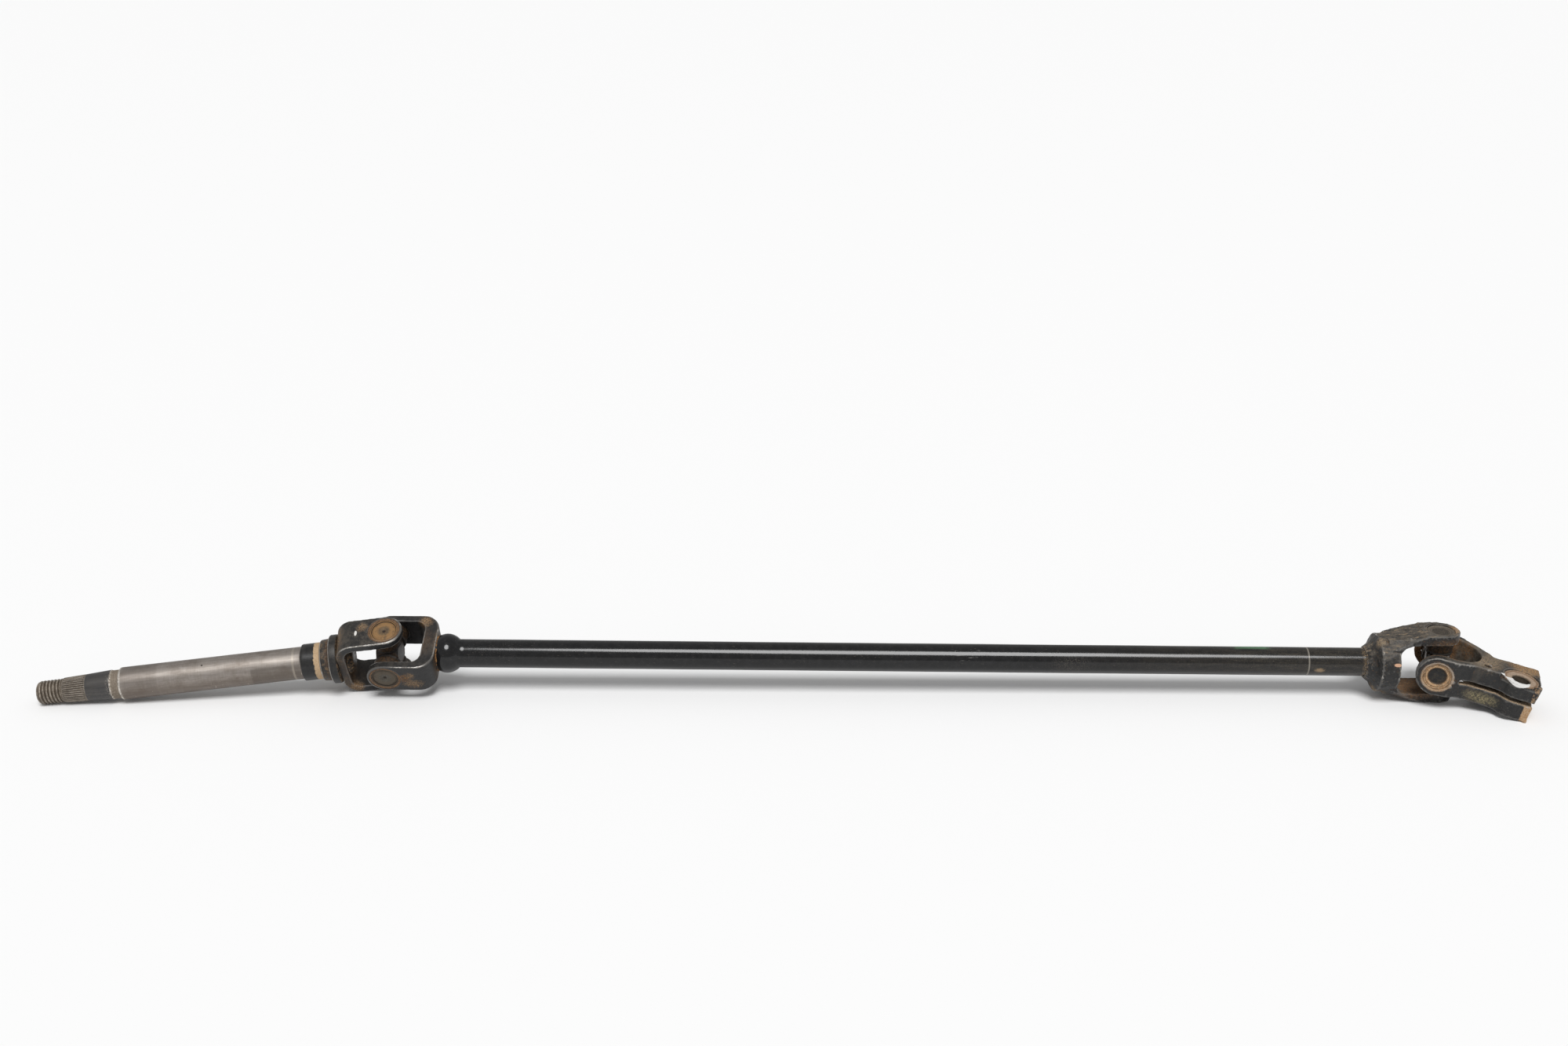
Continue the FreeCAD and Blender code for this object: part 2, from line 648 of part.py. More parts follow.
def build():
    """Every node of the assembly at rest, and the frames of its bodies."""
    shapes = {
        "column_shaft": column_shaft(),
        "upper_yoke": strip_yoke(UPPER_YOKE_BASE, UPPER_BASE_THICKNESS),
        "tube_yoke": strip_yoke(TUBE_YOKE_BASE, TUBE_BASE_THICKNESS),
        "intermediate_tube": intermediate_tube(),
        "lower_yoke": lower_yoke(),
        "clamp_yoke": clamp_yoke()}
    frames = rest_pose(shapes)
    carrier = {
        "column_shaft": "column", "upper_yoke": "column", "tube_yoke": "tube_upper",
        "intermediate_tube": "tube_upper", "lower_yoke": "tube_lower", "clamp_yoke": "clamp"}
    nodes = {name: moved(shape, frames[carrier[name]]) for name, shape in shapes.items()}
    nodes["upper_cross"] = moved(joint_cross(), frames["upper_cross"])
    nodes["lower_cross"] = moved(joint_cross(), frames["lower_cross"])
    for yoke in ("upper_yoke", "tube_yoke", "lower_yoke", "clamp_yoke"):
        nodes.update(yoke_bearings(yoke, frames[carrier[yoke]]))
    shift = Placement(centred_on_floor(nodes), Rotation())
    nodes = {name: moved(shape, shift) for name, shape in nodes.items()}
    frames = {name: shift.multiply(frame) for name, frame in frames.items()}
    return nodes, frames


NODES, FRAMES = build()
os.makedirs("parts", exist_ok=True)
for node_name, node_shape in NODES.items():
    node_shape.exportStep("parts/%s.step" % node_name)
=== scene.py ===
import bpy
import bmesh
import json
import math
import numpy as np
from mathutils import Matrix, Vector, noise


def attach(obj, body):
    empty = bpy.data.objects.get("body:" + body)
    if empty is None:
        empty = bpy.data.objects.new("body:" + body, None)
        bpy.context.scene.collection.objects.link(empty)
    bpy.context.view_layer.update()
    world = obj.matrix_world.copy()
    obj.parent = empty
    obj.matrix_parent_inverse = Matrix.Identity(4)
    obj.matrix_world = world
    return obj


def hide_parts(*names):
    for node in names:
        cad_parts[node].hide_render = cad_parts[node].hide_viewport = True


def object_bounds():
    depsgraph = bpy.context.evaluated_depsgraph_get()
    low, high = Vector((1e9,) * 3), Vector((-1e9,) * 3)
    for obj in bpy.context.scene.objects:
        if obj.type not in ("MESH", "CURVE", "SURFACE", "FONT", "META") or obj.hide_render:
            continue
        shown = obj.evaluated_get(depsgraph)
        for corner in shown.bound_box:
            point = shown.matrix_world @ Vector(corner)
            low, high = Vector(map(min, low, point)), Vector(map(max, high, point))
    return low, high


# Dressed model of the steering stem shaft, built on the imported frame.
# Sizes are millimetres in each body's own frame unless a name says otherwise.

MM = 0.001

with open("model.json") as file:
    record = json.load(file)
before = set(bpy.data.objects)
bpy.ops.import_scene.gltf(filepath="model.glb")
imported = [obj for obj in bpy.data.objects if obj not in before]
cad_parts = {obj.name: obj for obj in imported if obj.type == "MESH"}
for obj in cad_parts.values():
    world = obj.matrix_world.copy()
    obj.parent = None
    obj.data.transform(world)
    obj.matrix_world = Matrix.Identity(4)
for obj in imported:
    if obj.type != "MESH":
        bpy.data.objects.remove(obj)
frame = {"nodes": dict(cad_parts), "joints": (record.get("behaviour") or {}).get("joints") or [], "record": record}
cad_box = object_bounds()
JOINTS = {joint["name"]: joint for joint in frame["joints"]}
MOUNTS = {mount["name"]: mount for mount in frame["record"]["mounts"]}

# Camera, as the photograph sees the part
CAMERA_FROM_UPPER_JOINT_M = (0.24902, -0.93824, 0.44586)
CAMERA_YAW_DEG = -0.742
CAMERA_PITCH_DEG = 21.06
CAMERA_ROLL_DEG = -0.03
FOCAL_PIXELS = 2200.0
PHOTO_WIDTH_PIXELS = 1999.0
SENSOR_WIDTH = 36.0

# Studio light
SUN_HEIGHT_DEG = 60.0
SUN_TURN_DEG = 8.0
SUN_SPREAD_DEG = 28.0
SUN_STRENGTH = 2.5
SKY_STRENGTH = 0.42
FLOOR_HALF_M = 60.0
FLOOR_TONE = 0.88

# Column shaft, distances from the upper joint centre
RIVET_TOP = 21.3
RIVET_RADIUS = 10.2
RIVET_CROWN_RADIUS = 6.8
YOKE_FLOOR = 24.7
SPIGOT_RADIUS = 8.0
SHOULDER_START = 29.5
SHOULDER_RADIUS = 14.6
SHOULDER_STEP = 34.5
SHOULDER_STEP_RADIUS = 12.6
SHOULDER_END = 40.4
COLLAR_RADIUS = 11.0
COLLAR_END = 51.9
JOURNAL_RADIUS = 9.7
JOURNAL_END = 159.4
JOURNAL_GREY = (52.0, 81.5)
JOURNAL_RING = (55.8, 57.0)
JOURNAL_RUBBED = (137.0, 157.0)
JOURNAL_PITS = ((147.9, 7.7, 5.9), (109.8, 9.6, -1.5), (93.0, 3.0, 9.2), (128.0, -8.0, -5.4))
GROOVE_RADIUS = 8.7
GROOVE_END = 164.5
TAPER_RADIUS = 8.9
SERRATION_START = 179.2
SERRATION_RADIUS = 8.0
SERRATION_END = 192.6
SERRATION_END_RADIUS = 7.4
SERRATION_TEETH = 36
SERRATION_DEPTH = 0.55
THREAD_RADIUS = 7.0
THREAD_PITCH = 2.0
THREAD_DEPTH = 0.75
THREAD_GAP = 0.6
SHAFT_END = 208.5
TIP_LENGTH = 3.0
TIP_RADIUS = 4.6
TIP_STEPS = 8
SHAFT_SEGMENTS = 216

# Tube, distances from the upper joint centre
TUBE_RADIUS = 8.5
NECK_START = 29.0
NECK_RADIUS = 11.8
NECK_MIDDLE = 34.6
NECK_CREASE = 41.8
NECK_STEPS = 24
TUBE_SEGMENTS = 96
TUBE_SCUFFED = (48.0, 78.0)
TUBE_SCRAPE = (348.0, 3.9, -7.6)
TUBE_DUSTY = (380.0, 560.0)
TUBE_DULL = (408.5, 7.8, -3.3)
TUBE_GREEN = (506.0, 526.0)
TUBE_RING = 549.0
TUBE_SMUDGE = (555.5, 8.3, -1.5)
TUBE_END_DUST = (580.0, 583.0)
TUBE_FAR_TOP = (0.0, -0.713, -0.697)
WELD_RADIUS = 10.6
WELD_BEAD = 0.9
WELD_STEPS = 8
WELD_SEGMENTS = 200

# Yokes, distances from their joint centre
STRIP_EAR_FACE = 20.5
STRIP_EDGE = -10.7
LOWER_EAR_FACE = 21.6
LOWER_EAR_INSIDE = 15.4
LOWER_TUBE_END = 40.5
FORK_WELD = 43.0
CLAMP_EAR_FACE = 21.2
CLAMP_TOP = 12.2
CLAMP_END = 56.0
LUG_FRONT = -16.0
LUG_BURR = (53.6, -21.6, -11.0)
STAKE_LUMPS = ((9.3, -0.4), (8.6, -3.9))
PINCH_HOLE = (45.0, -13.5)
SPOT_FACE_RADIUS = 10.0
SPOT_FACE_HEIGHT = 10.8

# Bearing cups, distances from the joint centre along the cup's axis
CUP_RADIUS = 8.0
CUP_GAP = 0.02
CUP_OPEN_END = 9.4
CUP_BORE_RADIUS = 6.75
CUP_BORE_END = 18.4
CUP_SEGMENTS = 96

# Making of the meshes
WELD_DISTANCE = 0.001
CORNER_SHARE = 0.45
CORNER_STEPS = 4
VOXEL = 0.4
STRIP_SMOOTHING = 20
FORGED_SMOOTHING = 13
CROSS_SMOOTHING = 8
SEED_SHIFT = (17.3, 5.1, 9.7)
EAR_SKIN = 1.2
CURVATURE_STEPS = 5
CURVATURE_FULL = 0.1
FLOOR_GAP = 0.02


def local_frame(origin, x_axis, y_axis):
    """Matrix from a body's own millimetres to the row frame's metres."""
    x_dir = Vector(x_axis).normalized()
    z_dir = x_dir.cross(Vector(y_axis)).normalized()
    y_dir = z_dir.cross(x_dir)
    matrix = Matrix((x_dir * MM, y_dir * MM, z_dir * MM)).transposed().to_4x4()
    matrix.translation = origin
    return matrix


UPPER_JOINT = Vector(JOINTS["tube_yoke_hinge"]["pos_m"])
LOWER_JOINT = Vector(JOINTS["lower_yoke_hinge"]["pos_m"])
TUBE_LENGTH = (LOWER_JOINT - UPPER_JOINT).length / MM
COLUMN = local_frame(UPPER_JOINT, MOUNTS["column_journal"]["axis"], JOINTS["upper_yoke_hinge"]["axis"])
CLAMP = local_frame(LOWER_JOINT, MOUNTS["clamp_bore"]["axis"], JOINTS["clamp_yoke_hinge"]["axis"])
TUBE = local_frame(UPPER_JOINT, LOWER_JOINT - UPPER_JOINT, JOINTS["tube_yoke_hinge"]["axis"])
TUBE_FAR = local_frame(LOWER_JOINT, UPPER_JOINT - LOWER_JOINT, JOINTS["lower_yoke_hinge"]["axis"])


# Meshes

def read(items, field, width=3, kind=float):
    """One property of every item of a mesh, as rows of an array."""
    values = np.empty(len(items) * width, kind)
    items.foreach_get(field, values)
    return values.reshape(-1, width)


def to_local(points, matrix):
    """Row frame metres to a body's own millimetres."""
    inverse = np.array(matrix.inverted())
    return points @ inverse[:3, :3].T + inverse[:3, 3]


def to_row(points, matrix):
    """A body's own millimetres to row frame metres."""
    forward = np.array(matrix)
    return points @ forward[:3, :3].T + forward[:3, 3]


def own_normals(mesh, matrix):
    """Vertex normals along a body's own axes."""
    return read(mesh.vertex_normals, "vector") @ np.array(matrix.to_3x3()) / MM


def neighbour_mean(points, edges, degree):
    """Mean position of the vertices that share an edge with each one."""
    total = np.empty_like(points)
    for axis in range(3):
        total[:, axis] = (
            np.bincount(edges[:, 0], points[edges[:, 1], axis], len(points))
            + np.bincount(edges[:, 1], points[edges[:, 0], axis], len(points)))
    return total / degree[:, None]


def curvature(mesh):
    """Height of each vertex over its smoothed surroundings, about -1 to 1."""
    points = read(mesh.vertices, "co")
    edges = read(mesh.edges, "vertices", 2, int)
    degree = np.maximum(np.bincount(edges.ravel(), minlength=len(points)), 1)
    smooth = points
    for _ in range(CURVATURE_STEPS):
        smooth = neighbour_mean(smooth, edges, degree)
    height = np.einsum("ij,ij->i", points - smooth, read(mesh.vertex_normals, "vector"))
    return np.clip(height / (CURVATURE_FULL * MM), -1, 1)


def store(mesh, name, kind, values):
    """Writes one value or vector per vertex into a mesh attribute."""
    layer = mesh.attributes.new(name, kind, "POINT")
    field = "vector" if kind == "FLOAT_VECTOR" else "value"
    layer.data.foreach_set(field, np.ascontiguousarray(values, dtype=np.float32).ravel())


def tag(mesh, matrix):
    """Stores what the materials need, all taken in the lying pose."""
    bend = curvature(mesh)
    store(mesh, "local", "FLOAT_VECTOR", to_local(read(mesh.vertices, "co"), matrix))
    store(mesh, "facing", "FLOAT_VECTOR", own_normals(mesh, matrix))
    store(mesh, "top", "FLOAT", read(mesh.vertex_normals, "vector")[:, 2])
    store(mesh, "wear", "FLOAT", np.clip(bend, 0, 1))
    store(mesh, "crease", "FLOAT", np.clip(-bend, 0, 1))


def add_object(name, data):
    """New object in the scene."""
    item = bpy.data.objects.new(name, data)
    bpy.context.scene.collection.objects.link(item)
    return item


def place(name, mesh, matrix, body, nodes):
    """Adds a finished mesh that stands for its CAD nodes, if it has any."""
    tag(mesh, matrix)
    mesh.shade_smooth()
    piece = add_object(name, mesh)
    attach(piece, body)
    if nodes:
        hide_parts(*nodes)


def weld(mesh, outward=False):
    """Joins vertices at one spot, and turns the faces outward if asked."""
    welded = bmesh.new()
    welded.from_mesh(mesh)
    bmesh.ops.remove_doubles(welded, verts=welded.verts, dist=WELD_DISTANCE * MM)
    if outward:
        bmesh.ops.recalc_face_normals(welded, faces=welded.faces)
    welded.to_mesh(mesh)
    welded.free()


def grid_faces(rows, segments):
    """Quads of a tube of rows, each with the same number of segments."""
    faces = []
    for row in range(rows - 1):
        start = row * segments
        for step in range(segments):
            after = (step + 1) % segments
            faces.append((start + step, start + after, start + segments + after, start + segments + step))
    return faces


def lathe(name, profile, segments, matrix, shape=None):
    """Mesh turned about X from (x, radius) rows; shape may vary the radius."""
    angles = np.linspace(0, 2 * math.pi, segments, endpoint=False)
    rows = []
    for x, radius in profile:
        reach = np.full(segments, radius)
        if shape is not None and radius > 0:
            reach = shape(x, radius, angles)
        rows.append(np.stack([np.full(segments, x), reach * np.cos(angles), reach * np.sin(angles)], 1))
    points = to_row(np.concatenate(rows), matrix)
    mesh = bpy.data.meshes.new(name)
    mesh.from_pydata(points.tolist(), [], grid_faces(len(profile), segments))
    weld(mesh, outward=True)
    return mesh


def subdivided(profile, longest):
    """Profile with points added so that no step is longer than given."""
    rows = [profile[0]]
    for (x0, r0), (x1, r1) in zip(profile, profile[1:]):
        steps = max(1, math.ceil(math.hypot(x1 - x0, r1 - r0) / longest))
        rows += [(x0 + (x1 - x0) * k / steps, r0 + (r1 - r0) * k / steps) for k in range(1, steps + 1)]
    return rows


def rounded(profile, radius):
    """Profile whose inner corners are turned into short curves."""
    rows = [profile[0]]
    for before, corner, after in zip(profile, profile[1:], profile[2:]):
        corner_v = Vector(corner)
        into = Vector(before) - corner_v
        out = Vector(after) - corner_v
        reach = min(radius, into.length * CORNER_SHARE, out.length * CORNER_SHARE)
        start = corner_v + into.normalized() * reach
        end = corner_v + out.normalized() * reach
        for k in range(CORNER_STEPS + 1):
            t = k / CORNER_STEPS
            rows.append(tuple(start * (1 - t) ** 2 + corner_v * 2 * t * (1 - t) + end * t ** 2))
    return rows + [profile[-1]]


def sculpted(node, matrix, smoothing, sculpt):
    """Rounded dense copy of a CAD node, with its surface worked."""
    source = frame["nodes"][node].data.copy()
    weld(source)
    scratch = add_object(node + "_scratch", source)
    remesh = scratch.modifiers.new("remesh", "REMESH")
    remesh.mode = "VOXEL"
    remesh.voxel_size = VOXEL * MM
    smooth = scratch.modifiers.new("smooth", "SMOOTH")
    smooth.factor = 0.5
    smooth.iterations = smoothing
    bpy.context.view_layer.update()
    graph = bpy.context.evaluated_depsgraph_get()
    mesh = bpy.data.meshes.new_from_object(scratch.evaluated_get(graph))
    bpy.data.objects.remove(scratch)
    mesh.materials.clear()
    for layer in [a.name for a in mesh.attributes if not a.is_required and not a.is_internal]:
        mesh.attributes.remove(mesh.attributes[layer])
    points = to_local(read(mesh.vertices, "co"), matrix)
    points += own_normals(mesh, matrix) * sculpt(points)[:, None]
    row = to_row(points, matrix)
    row[:, 2] = np.maximum(row[:, 2], cad_box[0][2] + FLOOR_GAP * MM)
    mesh.vertices.foreach_set("co", row.astype(np.float32).ravel())
    mesh.update()
    return mesh


# Sculpting of each part

def ripple(points, scale, amount, seed):
    """Soft random height at each point, for forged and hammered skins."""
    shift = Vector([seed * step for step in SEED_SHIFT])
    return np.array([noise.noise(Vector(p) * scale + shift) for p in points]) * amount


def ring_height(distance, middle, half_width):
    """Round ridge that peaks at the middle distance."""
    return np.clip(1 - ((distance - middle) / half_width) ** 2, 0, 1)


def cup_rim(points, face, radius, half_width):
    """Round ridge about both cup holes, on the outer faces of the ears."""
    on_ear = np.abs(points[:, 1]) > face - EAR_SKIN
    return ring_height(np.hypot(points[:, 0], points[:, 2]), radius, half_width) * on_ear


def strip_skin(seed):
    """Sculpting of a folded yoke, from its own seed."""
    def sculpt(points):
        """Folded strip: nearly flat, with soft press marks round the cups."""
        height = ripple(points, 0.22, 0.07, seed) + ripple(points, 1.1, 0.03, seed + 1)
        return height - 0.22 * cup_rim(points, STRIP_EAR_FACE, 9.0, 0.7)
    return sculpt


def lower_skin(points):
    """Forged fork: rippled weld on the tube, hammered skin, cup rim."""
    height = ripple(points, 0.25, 0.34, 4) + ripple(points, 0.7, 0.12, 5)
    angle = np.arctan2(points[:, 2], points[:, 1])
    bead = ring_height(points[:, 0], FORK_WELD, 1.8)
    height += bead * (0.06 * np.sin(angle * 21 + 2 * np.sin(angle * 3)) + 0.25)
    return height - 0.25 * cup_rim(points, LOWER_EAR_FACE, 8.6, 0.8)


def clamp_skin(points):
    """Clamp yoke: hammered forging with a staked rim round each cup."""
    height = ripple(points, 0.25, 0.28, 8) + ripple(points, 0.7, 0.09, 9)
    radius = np.hypot(points[:, 0], points[:, 2])
    angle = np.arctan2(points[:, 2], points[:, 0])
    on_ear = (np.abs(points[:, 1]) > CLAMP_EAR_FACE - 1.4) & (points[:, 0] < 12)
    lumps = 0.75 + 0.25 * np.sin(angle * 7 + 0.8)
    height += 0.4 * ring_height(radius, 8.9, 0.8) * lumps * on_ear
    for x, z in STAKE_LUMPS:
        height += 0.7 * ring_height(np.hypot(points[:, 0] - x, points[:, 2] - z), 0.0, 1.5) * on_ear
    from_burr = np.linalg.norm(points - np.array(LUG_BURR), axis=1)
    height += 0.6 * ring_height(from_burr, 0.0, 1.8)
    from_hole = np.hypot(points[:, 0] - PINCH_HOLE[0], points[:, 1] - PINCH_HOLE[1])
    broken = ring_height(from_hole, SPOT_FACE_RADIUS + 0.4, 2.4) * (points[:, 1] < LUG_FRONT)
    return height - broken * ring_height(points[:, 2], SPOT_FACE_HEIGHT, 2.2)


def cross_skin(points):
    """Forged cross: a fine even roughness."""
    return ripple(points, 0.5, 0.1, 12)


# Column shaft

def column_profile():
    """Rows of the turned shaft from its rivet head to its tip."""
    lower = rounded([
        (RIVET_TOP, 0),
        (RIVET_TOP, RIVET_CROWN_RADIUS),
        (YOKE_FLOOR, RIVET_RADIUS),
        (YOKE_FLOOR, SPIGOT_RADIUS),
        (SHOULDER_START, SPIGOT_RADIUS),
        (SHOULDER_START, SHOULDER_RADIUS),
        (SHOULDER_STEP, SHOULDER_RADIUS),
        (SHOULDER_STEP + 0.4, SHOULDER_STEP_RADIUS),
        (SHOULDER_END - 0.4, SHOULDER_STEP_RADIUS - 0.4),
        (SHOULDER_END, COLLAR_RADIUS),
        (COLLAR_END - 0.5, COLLAR_RADIUS),
        (COLLAR_END, JOURNAL_RADIUS),
        (JOURNAL_END - 0.3, JOURNAL_RADIUS),
        (JOURNAL_END + 0.4, GROOVE_RADIUS - 0.2),
        (GROOVE_END - 0.4, GROOVE_RADIUS - 0.2),
        (GROOVE_END + 0.4, TAPER_RADIUS),
        (SERRATION_START, SERRATION_RADIUS)], 1.4)
    upper = [
        (SERRATION_START, SERRATION_RADIUS),
        (SERRATION_END, SERRATION_END_RADIUS),
        (SERRATION_END + 0.8, THREAD_RADIUS),
        (SHAFT_END - TIP_LENGTH, THREAD_RADIUS)]
    tip = []
    for step in range(1, TIP_STEPS + 1):
        turn = step / TIP_STEPS * math.pi / 2
        tip.append((
            SHAFT_END - TIP_LENGTH * (1 - math.sin(turn)),
            TIP_RADIUS + (THREAD_RADIUS - TIP_RADIUS) * math.cos(turn)))
    return subdivided(lower, 2.0) + subdivided(upper, 0.17)[1:] + tip + [(SHAFT_END, 0)]


def held(value):
    """Value kept between 0 and 1."""
    return min(1, max(0, value))


def thread_dip(x, angles):
    """Depth of the worn helical thread under its crest."""
    phase = (x / THREAD_PITCH - angles / (2 * math.pi)) % 1
    groove = np.clip(1.35 * (1 - np.abs(2 * phase - 1) * 1.5), 0, 1)
    run_in = held((x - SERRATION_END - THREAD_GAP) / 1.5)
    run_out = held((SHAFT_END - 1.2 - x) / 1.6)
    return THREAD_DEPTH * groove * (run_in * run_out)


def column_radius(x, radius, angles):
    """Radius of the shaft round one row, with its teeth and thread."""
    if SERRATION_START < x <= SERRATION_END + 0.2:
        run_in = min(1, (x - SERRATION_START) / 1.2)
        wave = np.abs((angles * SERRATION_TEETH / (2 * math.pi)) % 1 * 2 - 1)
        return radius - SERRATION_DEPTH * run_in * np.clip(wave * 1.3 - 0.15, 0, 1)
    if x > SERRATION_END + THREAD_GAP:
        return radius - thread_dip(x, angles)
    return np.full_like(angles, radius)


def column_pieces():
    """Turned shaft in one mesh, with a material for each zone."""
    mesh = lathe("column_shaft_turned", column_profile(), SHAFT_SEGMENTS, COLUMN, column_radius)
    place("column_shaft_turned", mesh, COLUMN, "column", ["column_shaft"])
    zones = [
        (SHOULDER_END, shoulder_paint()),
        (COLLAR_END - 0.1, collar_paint()),
        (JOURNAL_END + 0.2, journal_steel()),
        (GROOVE_END + 0.3, groove_dust()),
        (SERRATION_START, taper_black()),
        (SERRATION_END + 0.3, serration_steel()),
        (SHAFT_END + 1, thread_steel())]
    for _, material in zones:
        mesh.materials.append(material)
    along = to_local(read(mesh.polygons, "center"), COLUMN)[:, 0]
    index = np.searchsorted([end for end, _ in zones], along)
    mesh.polygons.foreach_set("material_index", np.minimum(index, len(zones) - 1).astype(np.int32))


# Tube

def tube_profile():
    """Rows of the tube: bulged neck, long plain wall, end in its socket."""
    rows = [(NECK_START, 0)]
    for step in range(NECK_STEPS + 1):
        x = NECK_START + (NECK_CREASE - NECK_START) * step / NECK_STEPS
        swell = math.cos(math.pi / 2 * (x - NECK_MIDDLE) / (NECK_CREASE - NECK_MIDDLE))
        rows.append((x, TUBE_RADIUS + (NECK_RADIUS - TUBE_RADIUS) * max(swell, 0) ** 0.75))
    end = TUBE_LENGTH - LOWER_TUBE_END
    plain = [(NECK_CREASE, TUBE_RADIUS), (end, TUBE_RADIUS)]
    return subdivided(rows, 1.0) + subdivided(plain, 4.0)[1:] + [(end, 0)]


def tube_radius(x, radius, angles):
    """Tube wall with a few very shallow dents."""
    bumps = [noise.noise(Vector((x * 0.05, math.cos(a) * 0.7, math.sin(a) * 0.7))) for a in angles]
    return radius + 0.05 * np.array(bumps) * (x > NECK_CREASE)


def tube_pieces():
    """The long painted tube with its bulged neck."""
    mesh = lathe("tube_wall", tube_profile(), TUBE_SEGMENTS, TUBE, tube_radius)
    mesh.materials.append(tube_paint())
    place("tube_wall", mesh, TUBE, "intermediate_shaft", ["intermediate_tube"])


def bead_radius(x, radius, angles):
    """Uneven radius of the weld bead round the neck."""
    wave = 0.1 * np.sin(angles * 23 + 2.3 * np.sin(angles * 4))
    wave += 0.22 * np.sin(angles * 9 + np.sin(angles * 2))
    return radius + wave


def neck_weld():
    """Rusty weld bead between the folded yoke and the tube's neck."""
    profile = []
    for step in range(WELD_STEPS + 1):
        turn = math.pi * step / WELD_STEPS
        x = NECK_START + 0.4 - WELD_BEAD * math.cos(turn)
        profile.append((x, WELD_RADIUS - WELD_BEAD + WELD_BEAD * math.sin(turn)))
    mesh = lathe("neck_weld_bead", profile, WELD_SEGMENTS, TUBE, bead_radius)
    mesh.materials.append(weld_rust())
    place("neck_weld_bead", mesh, TUBE, "intermediate_shaft", [])


# Bearing cups

def cup_frame(matrix, side):
    """Frame whose X runs out along one ear, from a yoke's own frame."""
    turn = Matrix(((0, -side, 0, 0), (side, 0, 0, 0), (0, 0, 1, 0), (0, 0, 0, 1)))
    return matrix @ turn


def strip_cup_rows():
    """Cup in a folded ear: flat end with a centre dimple, pressed rim."""
    return [(19.2, 0), (19.3, 0.9), (19.75, 1.7), (19.9, 2.6), (19.9, 6.1), (19.45, 6.7),
            (19.5, 7.2), (20.1, 7.55), (19.9, CUP_RADIUS)]


def forged_cup_rows():
    """Cup in a forged ear: sunk middle inside a raised double ring."""
    return [(18.9, 0), (18.9, 4.7), (19.3, 5.2), (20.2, 5.7), (20.45, 6.3), (20.1, 6.8),
            (20.3, 7.3), (20.6, 7.7), (20.2, CUP_RADIUS)]


def plain_cup_rows():
    """Cup in the tube's forged ear: nearly flush, with a shallow sunk face."""
    return [(20.2, 0), (20.2, 6.0), (20.5, 6.6), (20.9, 7.3), (20.6, CUP_RADIUS)]


def cup_pieces(yoke, matrix, body, face, material):
    """Both cups of a yoke as turned shells that stand for the CAD cups."""
    wall = CUP_RADIUS - CUP_GAP
    shell = [(face[-1][0] - 0.4, wall), (CUP_OPEN_END, wall),
             (CUP_OPEN_END, CUP_BORE_RADIUS), (CUP_BORE_END, CUP_BORE_RADIUS)]
    profile = subdivided(rounded(face + shell, 0.5), 0.5)
    for number, side in ((1, 1), (2, -1)):
        own = cup_frame(matrix, side)
        name = "%s_cup_%d_turned" % (yoke, number)
        mesh = lathe(name, profile, CUP_SEGMENTS, own)
        mesh.materials.append(material)
        place(name, mesh, own, body, ["%s_cup_%d" % (yoke, number)])


# Materials

PAINT = (0.0095, 0.0095, 0.01)
PAINT_GREY = (0.021, 0.0205, 0.02)
PAINT_RUBBED = (0.105, 0.1, 0.094)
BARE_STEEL = (0.46, 0.44, 0.41)
BARE_DULL = (0.21, 0.185, 0.16)
RUST_DARK = (0.06, 0.028, 0.012)
RUST_BROWN = (0.135, 0.066, 0.026)
RUST_ORANGE = (0.3, 0.15, 0.052)
TAN = (0.36, 0.245, 0.135)
TAN_PALE = (0.5, 0.36, 0.23)
DUST_BROWN = (0.09, 0.07, 0.05)
DUST_GREY = (0.15, 0.13, 0.104)
OLIVE = (0.34, 0.29, 0.155)
COPPER = (0.52, 0.31, 0.2)
CHALK = (0.62, 0.6, 0.57)


def new_material(name):
    """New material with its shader node."""
    material = bpy.data.materials.new(name)
    material.use_nodes = True
    return material, material.node_tree.nodes["Principled BSDF"]


